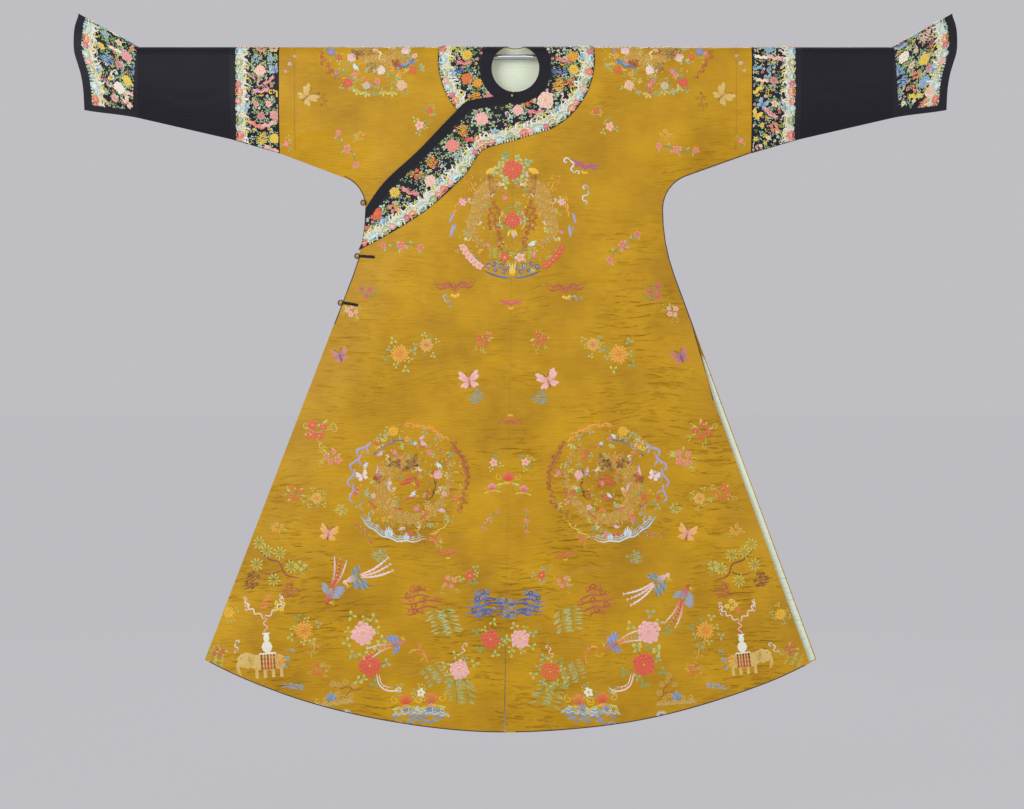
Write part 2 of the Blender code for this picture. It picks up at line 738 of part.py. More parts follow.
def round_bar(name, profile, finish, collection, steps=ROUND_SIDES):
    """Turns a closed outline of (x, radius) round the rod's axis."""
    turned = bmesh.new()
    verts = [turned.verts.new((x, 0, radius)) for x, radius in profile]
    edges = [turned.edges.new(pair) for pair in zip(verts, verts[1:] + verts[:1])]
    bmesh.ops.spin(turned, geom=verts + edges, cent=(0, 0, 0), axis=(1, 0, 0), angle=2 * math.pi,
                   steps=steps, use_merge=True)
    bmesh.ops.remove_doubles(turned, verts=turned.verts[:], dist=1e-6)
    bmesh.ops.recalc_face_normals(turned, faces=turned.faces[:])
    mesh = bpy.data.meshes.new(name)
    turned.to_mesh(mesh)
    turned.free()
    return keep(name, mesh, finish, collection)


def build_rod(collection):
    """The rod and the padded rolls that round the shoulders."""
    rod = bmesh.new()
    bmesh.ops.create_cone(rod, cap_ends=True, segments=ROUND_SIDES, radius1=ROD_RADIUS, radius2=ROD_RADIUS,
                          depth=2 * ROD_HALF)
    for vert in rod.verts:
        vert.co = Vector((vert.co.z, vert.co.y, -vert.co.x))
    mesh = bpy.data.meshes.new("hanging_rod")
    rod.to_mesh(mesh)
    rod.free()
    keep("hanging_rod", mesh, "rod_steel", collection)
    bore = ROD_RADIUS + GAP
    for side, name in ((1, "rod_roll_left"), (-1, "rod_roll_right")):
        ends = (side * ROLL_CLEAR_OF_NECK, side * ROD_HALF)
        profile = [(ends[0], bore), (ends[1], bore), (ends[1], ROLL_RADIUS), (ends[0], ROLL_RADIUS)]
        round_bar(name, profile, "roll_cotton", collection)


def on_surface(x, z, out, reach=0.0, tucked=False):
    """A point out metres in front of the front's outer face, clear of it for some reach around."""
    places = [hang(px / GRID_X, t_to_grid(to_t(px, pz)), out, tucked)
              for px, pz in ((x, z), (x - reach, z), (x + reach, z), (x, z - reach), (x, z + reach))]
    return Vector((x, min(p.y for p in places), z))


def ball(name, centre, radius, collection):
    made = bmesh.new()
    bmesh.ops.create_uvsphere(made, u_segments=12, v_segments=8, radius=radius)
    for vert in made.verts:
        vert.co += centre
    mesh = bpy.data.meshes.new(name)
    made.to_mesh(mesh)
    made.free()
    keep(name, mesh, "gilt_brass", collection)


def loop(name, centre, radius, collection):
    """The round cord of a fastening, about its knob."""
    made = bmesh.new()
    verts = [made.verts.new((radius + CORD_RADIUS * math.cos(a), 0, CORD_RADIUS * math.sin(a)))
             for a in [math.pi / 3 * k for k in range(6)]]
    edges = [made.edges.new(pair) for pair in zip(verts, verts[1:] + verts[:1])]
    bmesh.ops.spin(made, geom=verts + edges, cent=(0, 0, 0), axis=(0, 0, 1), angle=2 * math.pi,
                   steps=2 * LOOP_POINTS, use_merge=True)
    bmesh.ops.remove_doubles(made, verts=made.verts[:], dist=1e-6)
    bmesh.ops.recalc_face_normals(made, faces=made.faces[:])
    for vert in made.verts:
        x, y, z = vert.co
        vert.co = centre + Vector((x, z, y))
    bmesh.ops.reverse_faces(made, faces=made.faces[:])
    mesh = bpy.data.meshes.new(name)
    made.to_mesh(mesh)
    made.free()
    keep(name, mesh, "dark_cord", collection)


def build_fastenings(collection):
    """Knob buttons with their cord loops, and the straps of the two lower ones."""
    on_binding = GAP + BORDER + GAP
    neck = on_surface(NECK_KNOB[0], NECK_KNOB[1], on_binding + NECK_BUTTON_RADIUS)
    ball("knob_neck", neck, NECK_BUTTON_RADIUS, collection)
    for toggle in TOGGLES:
        place = seam_x(SEAMS[(False, True)], toggle.z) - KNOB_OVERHANG
        under = toggle.name == "underarm"
        centre = on_surface(place, toggle.z, GAP + BUTTON_RADIUS, BUTTON_RADIUS / 2, under)
        ball("knob_" + toggle.name, centre, BUTTON_RADIUS, collection)
        ring = BUTTON_RADIUS + GAP + CORD_RADIUS
        low = on_surface(place, toggle.z, GAP + CORD_RADIUS, ring + CORD_RADIUS, under)
        loop("loop_" + toggle.name, low, ring, collection)
        if under:
            continue
        near = place + ring + CORD_RADIUS + GAP
        far = near + STRAP_LENGTH
        rise = math.tan(toggle.turn)
        half = STRAP_WIDTH / 2
        strap = [(near, toggle.z - half), (far, toggle.z + rise * STRAP_LENGTH - half),
                 (far, toggle.z + rise * STRAP_LENGTH + half), (near, toggle.z + half)]
        laid_on("strap_" + toggle.name, on_front(strap), "navy_silk", collection)


def build_robe(collection):
    front_left(collection)
    front_overlap(collection)
    under_front(collection)
    back_half(True, collection)
    back_half(False, collection)
    back_lining(collection)
    overlap_collar(collection)
    under_collar(collection)
    back_collar(collection)
    for side, name in ((1, "left"), (-1, "right")):
        sleeve_piece("sleeve_band_" + name, BAND_START, BAND_END, side, "navy_satin", collection)
        sleeve_piece("sleeve_end_" + name, BAND_END, CUFF_START, side, "navy_silk", collection)
        cuff("cuff_" + name, side, collection)


def main():
    for old in list(bpy.data.objects):
        bpy.data.objects.remove(old)
    robe = bpy.data.collections.new("dragon_robe")
    bpy.context.scene.collection.children.link(robe)
    build_robe(robe)
    build_rod(robe)
    build_fastenings(robe)


main()
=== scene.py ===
# %% [markdown]
# A dragon robe on its hanging rod.
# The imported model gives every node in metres, at its true place. This lesson keeps the rod and the
# knobs, gives each piece of cloth a fine shell on the same form, and then embroiders it.

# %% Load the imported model
import math
import random
from collections import namedtuple

import bpy
import numpy as np
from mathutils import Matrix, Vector
from mathutils.geometry import delaunay_2d_cdt


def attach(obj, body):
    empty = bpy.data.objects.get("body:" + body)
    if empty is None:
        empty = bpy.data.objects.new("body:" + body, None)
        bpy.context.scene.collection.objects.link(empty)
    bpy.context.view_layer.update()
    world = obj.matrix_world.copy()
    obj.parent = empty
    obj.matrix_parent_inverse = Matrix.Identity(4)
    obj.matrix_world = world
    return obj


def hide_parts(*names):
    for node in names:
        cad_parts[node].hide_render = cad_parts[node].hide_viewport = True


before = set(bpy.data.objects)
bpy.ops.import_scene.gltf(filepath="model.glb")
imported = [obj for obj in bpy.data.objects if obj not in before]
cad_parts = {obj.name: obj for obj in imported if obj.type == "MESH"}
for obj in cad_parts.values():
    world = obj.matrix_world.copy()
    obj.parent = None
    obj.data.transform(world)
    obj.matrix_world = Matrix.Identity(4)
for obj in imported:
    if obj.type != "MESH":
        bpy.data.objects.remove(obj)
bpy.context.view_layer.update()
bpy.ops.object.select_all(action="DESELECT")
print("nodes:", len(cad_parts))

# %% [markdown]
# The cut of the robe. On the real one each piece is cut flat, so each place here is (x, t): x runs
# along the rod and t down the cloth from the shoulder fold, with the back on negative t. The sizes
# are the model's own, in metres.

# %% Sizes of the cut
SATIN = 0.0015
BORDER = 0.0010
LINING = 0.0010
GAP = 0.0003
SEAM = GAP / 2
FORM_RADIUS = 0.0210
QUARTER = FORM_RADIUS * math.pi / 2

NECK = (0.0, -0.0258)
NECK_RADIUS = 0.0498
FACING_WIDTH = 0.0240
BACK_NECK_DEPTH = 0.0100
COLLAR = (0.0020, -0.0060)
COLLAR_RADIUS = 0.1640

BAND_START = 0.4945
BAND_END = 0.5985
CUFF_START = 0.7900
CUFF_RISE = 0.56
CUFF_TIP_X = 0.9170
CUFF_FOLD_RADIUS = 0.0055
CUFF_DEPTH = 0.0150
CUFF_SWELL = 0.060
SLEEVE_SEAM = ((BAND_START, -0.2020), (BAND_END, -0.1720), (CUFF_START, -0.1280), (0.9060, -0.1110))
CUFF_MOUTH = (
    (0.9170, 0.0860), (0.9230, 0.0650), (0.9250, 0.0400), (0.9240, 0.0100), (0.9160, -0.0180),
    (0.9100, -0.0400), (0.9060, -0.0700), (0.9050, -0.1110),
)

ARMPIT = (0.3845, -0.3180)
ARMPIT_RADIUS = 0.0720
ARMPIT_TURN = math.radians(68)
WAIST_RADIUS = 0.4000
SIDE_SLOPE = 0.377
SIDE_LEAN = 0.0075
VENT_TOP_Z = -0.5600
VENT_INSET = 0.0150
VENT_INSET_Z = -0.7200
HEM_CENTRE_Z = 0.0340
HEM_RADIUS = 1.4490
CENTRE_LEAN = 0.0157
CENTRE_VENT_Z = -1.1990
CENTRE_VENT_HALF = 0.0015
UNDER_FRONT_Z = -0.5600
UNDER_FRONT_INSET = 0.0120

CLOSING_WIDTH = 0.110
SEAM_DEPTH = SATIN + SEAM
VENT_DEPTH = 0.0060
LAPPED_DEPTH = 2 * SATIN + GAP + SEAM + 0.00015
UNDER_TUCK = SATIN + GAP
COLLAR_TUCK = BORDER + GAP
TUCK_Z = 0.055

OVERLAP_EDGE = (
    (-0.0450, -0.0860), (-0.0980, -0.0950), (-0.1350, -0.1270), (-0.2050, -0.2000), (-0.2740, -0.2630),
)
BORDER_EDGE = (
    (-0.3300, -0.4060), (-0.2570, -0.3680), (-0.1785, -0.3170), (-0.1090, -0.2530), (-0.0844, -0.2180),
    (-0.0636, -0.1950), (-0.0044, -0.1780),
)
BORDER_LEAVES_RING = math.radians(-65)
EDGE_FACING_WIDTH = 0.0190
EDGE_FACING_DROP = 0.0120


# %% Curves and blends
def blend(value, start, end):
    """0 before start, 1 after end, and an even curve between them, on arrays too."""
    u = np.clip((np.asarray(value, float) - start) / (end - start), 0.0, 1.0)
    return u * u * (3 - 2 * u)


def arc(centre, radius, start, end, steps):
    angles = np.linspace(start, end, steps + 1)
    return [(centre[0] + radius * math.cos(a), centre[1] + radius * math.sin(a)) for a in angles]


def through(points, steps=3):
    """A smooth curve through the points, with both ends."""
    ends = [points[0], *points, points[-1]]
    curve = []
    for a, b, c, d in zip(ends, ends[1:], ends[2:], ends[3:]):
        for k in range(steps):
            u = k / steps
            curve.append(tuple(
                0.5 * (2 * b[n] + (c[n] - a[n]) * u + (2 * a[n] - 5 * b[n] + 4 * c[n] - d[n]) * u ** 2
                       + (3 * b[n] - a[n] - 3 * c[n] + d[n]) * u ** 3)
                for n in range(len(b))
            ))
    return curve + [tuple(points[-1])]


def mirrored(points):
    return [(-x, z) for x, z in points]


def curve_beside(points, width):
    """A curve the given width to the right of the way that it runs."""
    beside = []
    for n, (x, z) in enumerate(points):
        ax, az = points[max(0, n - 1)]
        bx, bz = points[min(len(points) - 1, n + 1)]
        length = math.hypot(bx - ax, bz - az)
        beside.append((x + (bz - az) / length * width, z - (bx - ax) / length * width))
    return beside


# %% Seams, sides and hem in front view
def sleeve_seam_z(x):
    for (x0, z0), (x1, z1) in zip(SLEEVE_SEAM, SLEEVE_SEAM[1:]):
        if x <= x1:
            break
    return z0 + (z1 - z0) * (x - x0) / (x1 - x0)


def armhole(inset=0.0):
    armpit = arc(ARMPIT, ARMPIT_RADIUS + inset, math.pi - ARMPIT_TURN, math.pi, 6)
    turn = math.atan(SIDE_SLOPE)
    middle = (ARMPIT[0] - ARMPIT_RADIUS + WAIST_RADIUS, ARMPIT[1])
    return armpit + arc(middle, WAIST_RADIUS + inset, math.pi, math.pi + turn, 4)[1:]


def side_x(z, inset=0.0):
    waist_x, waist_z = armhole(inset)[-1]
    return waist_x + SIDE_SLOPE * (waist_z - z)


def hem_z(x):
    return HEM_CENTRE_Z - math.sqrt(HEM_RADIUS ** 2 - x ** 2)


def hem_corner(inset=0.0):
    z = -1.0
    for _ in range(20):
        z = hem_z(side_x(z, inset)) + inset
    return side_x(z, inset), z


def leaned(points):
    return [(x + SIDE_LEAN * min(0.0, z), z) for x, z in points]


def seam_path(wearers_left, front):
    """The seam under the sleeve, round the armpit and down the side to the hem."""
    corner = hem_corner()
    down = [(side_x(VENT_TOP_Z), VENT_TOP_Z), corner]
    if wearers_left and front:
        inner = corner[0] - VENT_INSET
        down = [down[0], (side_x(VENT_INSET_Z) - VENT_INSET, VENT_INSET_Z), (inner, hem_z(inner))]
    path = list(reversed(SLEEVE_SEAM)) + armhole() + down
    return leaned(path if wearers_left else mirrored(path))


SEAMS = {(left, front): seam_path(left, front) for left in (True, False) for front in (True, False)}


def hem(start_x, end_x, steps, rise=0.0):
    return [(x, hem_z(x) + rise) for x in np.linspace(start_x, end_x, steps + 1)]


def centre_x(z):
    return -0.0010 + CENTRE_LEAN * z


def centre_edge(side):
    bottom = hem_z(0.0)
    return [(centre_x(bottom) + side * CENTRE_VENT_HALF, bottom),
            (centre_x(CENTRE_VENT_Z) + side * SEAM, CENTRE_VENT_Z)]


def neck_arc(radius, start, end, steps=24):
    return arc(NECK, radius, start, end, steps)


def collar_arc(start, end, steps=32):
    return arc(COLLAR, COLLAR_RADIUS, start, end, steps)


def ridge_angle(radius, centre_z, side):
    rise = math.asin(min(1.0, (FORM_RADIUS - centre_z) / radius))
    return rise if side > 0 else math.pi - rise


def seam_x(path, z):
    for (ax, az), (bx, bz) in zip(path[8:], path[9:]):
        if bz <= z <= az:
            return ax + (bx - ax) * (z - az) / (bz - az)
    return path[-1][0]


# %% [markdown]
# The hanging form. The padded roll holds the shoulders in a round fold, both walls hang straight
# down from it, and they close towards the seams. Soft folds grow towards the hem, and the satin
# is full of shallow creases that run mostly across it. A table gives each main crease its own
# place, turn, length, width and depth in metres; the smallest ones are left to the material, which bumps them
# and paints shade into their troughs.

# %% Folds and creases
Fold = namedtuple("Fold", "x width top depth")
FRONT_FOLDS = (
    Fold(-0.440, 0.080, -0.72, 0.0045), Fold(-0.235, 0.070, -0.64, -0.0035),
    Fold(-0.070, 0.060, -0.80, 0.0040), Fold(0.100, 0.065, -0.60, -0.0040),
    Fold(0.270, 0.075, -0.50, 0.0050), Fold(0.450, 0.070, -0.74, -0.0035),
)
BACK_FOLDS = (
    Fold(-0.380, 0.080, -0.60, -0.0040), Fold(-0.180, 0.070, -0.70, 0.0045),
    Fold(0.020, 0.080, -0.52, -0.0040), Fold(0.230, 0.070, -0.66, 0.0040),
    Fold(0.420, 0.080, -0.78, -0.0035),
)
Crease = namedtuple("Crease", "x z turn length width depth")
FRONT_CREASES = (
    Crease(0.190, -0.490, -20, 0.070, 0.0090, -0.0024), Crease(0.300, -0.545, -8, 0.110, 0.0090, -0.0021),
    Crease(0.120, -0.560, 4, 0.080, 0.0090, 0.0015), Crease(0.070, -0.660, -6, 0.090, 0.0090, -0.0018),
    Crease(0.290, -0.700, -12, 0.100, 0.0090, 0.0019), Crease(0.180, -0.770, 3, 0.090, 0.0090, -0.0019),
    Crease(0.350, -0.830, -9, 0.120, 0.0090, -0.0024), Crease(0.090, -0.900, 5, 0.080, 0.0090, 0.0021),
    Crease(0.240, -0.940, -4, 0.110, 0.0090, -0.0023), Crease(0.410, -1.010, -10, 0.120, 0.0090, 0.0021),
    Crease(0.120, -1.060, 2, 0.100, 0.0090, -0.0024), Crease(0.300, -1.130, -6, 0.130, 0.0100, -0.0025),
    Crease(0.480, -1.170, -12, 0.090, 0.0090, -0.0019), Crease(0.060, -1.190, 34, 0.060, 0.0090, -0.0027),
    Crease(0.200, -1.240, 6, 0.110, 0.0090, 0.0024), Crease(0.370, -1.290, -8, 0.100, 0.0090, -0.0021),
    Crease(0.070, -1.360, -22, 0.060, 0.0100, 0.0039), Crease(0.110, -1.320, 12, 0.070, 0.0090, -0.0030),
    Crease(-0.100, -0.600, 5, 0.080, 0.0090, -0.0015), Crease(-0.240, -0.680, 10, 0.100, 0.0090, 0.0016),
    Crease(-0.130, -0.790, -3, 0.090, 0.0090, -0.0016), Crease(-0.310, -0.860, 8, 0.110, 0.0090, -0.0018),
    Crease(-0.070, -0.930, 4, 0.070, 0.0090, 0.0015), Crease(-0.230, -1.000, 6, 0.110, 0.0090, -0.0019),
    Crease(-0.400, -1.060, 11, 0.100, 0.0090, 0.0018), Crease(-0.140, -1.120, -5, 0.090, 0.0090, -0.0019),
    Crease(-0.320, -1.190, 7, 0.120, 0.0090, -0.0019), Crease(-0.480, -1.230, 12, 0.080, 0.0090, -0.0016),
    Crease(-0.200, -1.290, -4, 0.110, 0.0090, 0.0021), Crease(-0.060, -1.340, 14, 0.060, 0.0090, -0.0024),
    Crease(0.330, -0.250, -28, 0.090, 0.0090, -0.0027), Crease(0.400, -0.190, -20, 0.080, 0.0090, 0.0021),
    Crease(-0.360, -0.230, 26, 0.080, 0.0090, -0.0027), Crease(-0.430, -0.170, 18, 0.070, 0.0090, 0.0018),
    Crease(0.280, -0.380, -52, 0.070, 0.0090, -0.0021), Crease(-0.270, -0.430, 50, 0.060, 0.0090, -0.0018),
    Crease(0.660, -0.090, -8, 0.070, 0.0090, -0.0014), Crease(-0.670, -0.080, 8, 0.070, 0.0090, -0.0014),
    Crease(0.730, -0.050, 10, 0.050, 0.0090, 0.0012), Crease(-0.740, -0.100, -8, 0.050, 0.0090, 0.0012),
)
BACK_SHIFT = (0.045, -0.030)


def fold_radius(x):
    return FORM_RADIUS + (CUFF_FOLD_RADIUS - FORM_RADIUS) * blend(np.abs(x), CUFF_START, CUFF_TIP_X)


def top_z(x):
    return FORM_RADIUS + CUFF_RISE * np.maximum(0.0, np.abs(x) - CUFF_START)


def to_t(x, z):
    """The distance down the cloth, from the shoulder fold, of a height in front view."""
    radius = float(fold_radius(x))
    below = float(top_z(x)) - radius - z
    if below >= 0:
        return radius * math.pi / 2 + below
    return radius * math.acos(max(-1.0, min(1.0, -below / radius)))


def distance_inside(path, wearers_left, x, z):
    """Distance to a seam path, negative outside the cloth."""
    best = np.full(x.shape, 9.0)
    for (ax, az), (bx, bz) in zip(path, path[1:]):
        dx, dz = bx - ax, bz - az
        u = np.clip(((x - ax) * dx + (z - az) * dz) / (dx * dx + dz * dz), 0.0, 1.0)
        best = np.minimum(best, np.hypot(x - ax - u * dx, z - az - u * dz))
    side = 1 if wearers_left else -1
    fence = [(side * 1.0, 1.0), (side * 1.0, path[0][1]), *path, (path[-1][0], -2.0), (0.0, -2.0), (0.0, 1.0)]
    return np.where(in_polygon(fence, x, z) | (side * x < 0.001), best, -best)


def in_polygon(polygon, x, z):
    inside = np.zeros(x.shape, bool)
    for (ax, az), (bx, bz) in zip(polygon, polygon[1:] + polygon[:1]):
        if az == bz:
            continue
        crosses = ((az > z) != (bz > z)) & (x < ax + (z - az) * (bx - ax) / (bz - az))
        inside ^= crosses
    return inside


def lap_share(x):
    return blend(x, -0.460, -0.360) * (1 - blend(x, 0.001, 0.040))


def swell(x, z, front):
    """The folds and creases, in metres out from the plain form."""
    total = np.zeros(x.shape)
    for fold in FRONT_FOLDS if front else BACK_FOLDS:
        across = np.exp(-((x - fold.x * (0.6 - 0.3 * z)) / fold.width) ** 2)
        total += fold.depth * across * blend(-z, -fold.top, -fold.top + 0.55)
    shift = (0.0, 0.0) if front else BACK_SHIFT
    for crease in FRONT_CREASES:
        turn = math.radians(crease.turn)
        dx, dz = x - crease.x - shift[0], z - crease.z - shift[1]
        along = (dx * math.cos(turn) + dz * math.sin(turn)) / crease.length
        bend = 0.012 * np.sin(along * 2.2 + crease.x * 40)
        across = (dz * math.cos(turn) - dx * math.sin(turn) - bend) / crease.width
        total += crease.depth * np.exp(-along ** 2 - across ** 2)
    return total


def half_depth(x, z, front):
    """Distance of the cloth's outer face from the middle plane."""
    full = fold_radius(x)
    cuff = blend(top_z(x) - z, 0.0, CUFF_SWELL) * blend(np.abs(x), CUFF_START, CUFF_TIP_X)
    full = full + (CUFF_DEPTH - full) * cuff + swell(x, z, front)
    closed = SEAM_DEPTH
    if front:
        closed = closed + (LAPPED_DEPTH - SEAM_DEPTH) * lap_share(x)
    edge = closed + (VENT_DEPTH - closed) * blend(-z, -VENT_TOP_Z, -VENT_TOP_Z + 0.15)
    to_seam = np.where(
        x > 0,
        distance_inside(SEAMS[(True, front)], True, x, z),
        distance_inside(SEAMS[(False, front)], False, x, z),
    )
    share = np.sin(math.pi / 2 * np.clip(to_seam / CLOSING_WIDTH, 0.0, 1.0))
    return edge + (full - edge) * share


def hang(x, t, out, tucked=False):
    """Places of flat points on the hanging form, out metres off its outer face, as an array of rows.

    Tucked points lie under the overlap. It is one value, or one for each point.
    """
    x, t, out = np.broadcast_arrays(np.asarray(x, float), np.asarray(t, float), np.asarray(out, float))
    radius = fold_radius(x)
    angle = np.clip(np.abs(t) / radius, 0.0, math.pi / 2)
    z = top_z(x) - radius + radius * np.cos(angle) - np.maximum(0.0, np.abs(t) - radius * math.pi / 2)
    side = np.where(t >= 0, -1.0, 1.0)
    depth = np.where(t >= 0, half_depth(x, z, True), half_depth(x, z, False))
    step = UNDER_TUCK + COLLAR_TUCK * blend(x, -0.280, -0.160)
    out = out - np.where(tucked, step * lap_share(x) * blend(-z, 0.0, TUCK_Z) * np.sin(angle), 0.0)
    return np.stack((x, side * np.sin(angle) * (depth + out), z + np.cos(angle) * out), axis=1)


# %% [markdown]
# Cloth is a thin shell. Its flat outline is filled with a net of even triangles by a constrained
# Delaunay fill, both faces are hung on the form, and a wall joins them round the edge. A UV map
# in metres keeps the flat cut, so that a weave follows the cloth over the shoulder.

# %% Shells of cloth
NET = 0.0082
LEAST_SHARE = 0.35


def dense(outline, step):
    """The outline with no side longer than a step."""
    points = []
    for (ax, at), (bx, bt) in zip(outline, outline[1:] + outline[:1]):
        count = max(1, math.ceil(math.hypot(bx - ax, bt - at) / step))
        points += [(ax + (bx - ax) * k / count, at + (bt - at) * k / count) for k in range(count)]
    return [p for n, p in enumerate(points) if math.dist(p, points[n - 1]) > 1e-5]


def net_of(outline, step):
    """Even triangles that fill an outline."""
    edge = dense(outline, step)
    low, high = np.min(edge, axis=0), np.max(edge, axis=0)
    rows = np.arange(low[1], high[1], step * 0.866)
    inner = np.concatenate([
        np.stack((np.arange(low[0] + (n % 2) * step / 2, high[0], step),
                  np.full(len(np.arange(low[0] + (n % 2) * step / 2, high[0], step)), row)), axis=1)
        for n, row in enumerate(rows)
    ])
    keep = in_polygon(edge, inner[:, 0], inner[:, 1])
    for (ax, at), (bx, bt) in zip(edge, edge[1:] + edge[:1]):
        near = np.abs(inner[:, 0] - ax) + np.abs(inner[:, 1] - at) < step * 3
        picked = np.nonzero(near & keep)[0]
        dx, dt = bx - ax, bt - at
        px, pt = inner[picked, 0] - ax, inner[picked, 1] - at
        u = np.clip((px * dx + pt * dt) / (dx * dx + dt * dt), 0.0, 1.0)
        keep[picked[np.hypot(px - u * dx, pt - u * dt) < step * 0.45]] = False
    points = [Vector(p) for p in edge] + [Vector(p) for p in inner[keep]]
    sides = [(n, (n + 1) % len(edge)) for n in range(len(edge))]
    places, _, faces, _, _, _ = delaunay_2d_cdt(points, sides, [], 1, 1e-7)
    return np.array([tuple(p) for p in places]), [tuple(f) for f in faces]


def flat_area(places, faces):
    a, b, c = (places[[f[n] for f in faces]] for n in range(3))
    return float(np.abs(np.cross(b - a, c - a)).sum() / 2)


def cloth(node, outline, inner, outer, finish, tucked=False, step=NET):
    """A shell of cloth that takes the place of its plain node, or nodes where the solid is parted."""
    replaced = [n for n in (node, node + "_skirt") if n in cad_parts]
    flat, faces = net_of(outline, step)
    front = hang(flat[:, 0], flat[:, 1], outer, tucked)
    back = hang(flat[:, 0], flat[:, 1], inner, tucked)
    faces = [f if signed(flat, f) > 0 else f[::-1] for f in faces]
    count = len(flat)
    uses = {}
    for f in faces:
        for a, b in zip(f, f[1:] + f[:1]):
            uses[(a, b)] = uses.get((b, a), 0) + 1
    rim = [(a, b) for (a, b) in uses if (b, a) not in uses]
    walls = [(b, a, a + count, b + count) for a, b in rim]
    every = [tuple(f) for f in faces] + [tuple(v + count for v in reversed(f)) for f in faces] + walls
    every = [tuple(reversed(f)) for f in every]
    mesh = bpy.data.meshes.new(node + "_cloth")
    mesh.from_pydata([*map(tuple, front), *map(tuple, back)], [], every)
    uv = mesh.uv_layers.new(name="cut")
    corner = np.empty(len(mesh.loops), int)
    mesh.loops.foreach_get("vertex_index", corner)
    uv.data.foreach_set("uv", flat[corner % count].astype(np.float32).ravel())
    mesh.materials.append(finish)
    mesh.shade_smooth()
    mesh.set_sharp_from_angle(angle=math.radians(50))
    piece = bpy.data.objects.new(node + "_cloth", mesh)
    bpy.context.scene.collection.objects.link(piece)
    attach(piece, "root")
    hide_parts(*replaced)
    size = flat.max(axis=0) - flat.min(axis=0)
    area = flat_area(flat, faces)
    if area < LEAST_SHARE * size[0] * size[1]:
        round_edge = sum(math.dist(a, b) for a, b in zip(outline, outline[1:] + outline[:1]))
        size = (area / (round_edge / 2), round_edge / 2)
    print(node, "is cut %.0f x %.0f mm," % (size[0] * 1000, size[1] * 1000), len(every), "faces")
    return piece


def signed(flat, face):
    a, b, c = (flat[v] for v in face[:3])
    return (b[0] - a[0]) * (c[1] - a[1]) - (b[1] - a[1]) * (c[0] - a[0])


def on_front(points):
    return [(float(x), max(SEAM, to_t(x, z))) for x, z in points]


def on_back(points):
    return [(float(x), min(-SEAM, -to_t(x, z))) for x, z in points]


# %% [markdown]
# Finishes. Silk satin is woven with long floats, so it is glossy along one direction and shows fine
# ribs across it. Each finish starts from what the real thing is. Colours are sRGB hex values, and
# one function turns them to linear.

# %% Colour and node helpers
def colour(text):
    """A hex colour, such as c0902a, as linear RGBA."""
    parts = [int(text[n:n + 2], 16) / 255 for n in (0, 2, 4)]
    return tuple(p / 12.92 if p <= 0.04045 else ((p + 0.055) / 1.055) ** 2.4 for p in parts) + (1.0,)


def node(tree, kind, links=(), **settings):
    """Adds a node. Settings name its properties or its inputs; links are (input, socket) pairs."""
    made = tree.nodes.new(kind)
    for name, value in settings.items():
        if hasattr(made, name):
            setattr(made, name, value)
        else:
            made.inputs[name.replace("_", " ")].default_value = value
    for name, socket in links:
        tree.links.new(socket, made.inputs[name])
    return made


def finish(name, base, roughness, metallic=0.0, **shader_inputs):
    """A new material with its shader's plain settings, and its node tree."""
    made = bpy.data.materials.new(name)
    made.use_nodes = True
    shader = made.node_tree.nodes["Principled BSDF"]
    shader.inputs["Base Color"].default_value = colour(base)
    shader.inputs["Roughness"].default_value = roughness
    shader.inputs["Metallic"].default_value = metallic
    for key, value in shader_inputs.items():
        shader.inputs[key.replace("_", " ")].default_value = value
    made.diffuse_color = colour(base)
    return made, made.node_tree, shader


# %% Silk satin and plain silk
THREAD_MM = 1.1
WRINKLE_SWAY = 0.045
CALM_Z = -0.30
CREASED_Z = -1.05


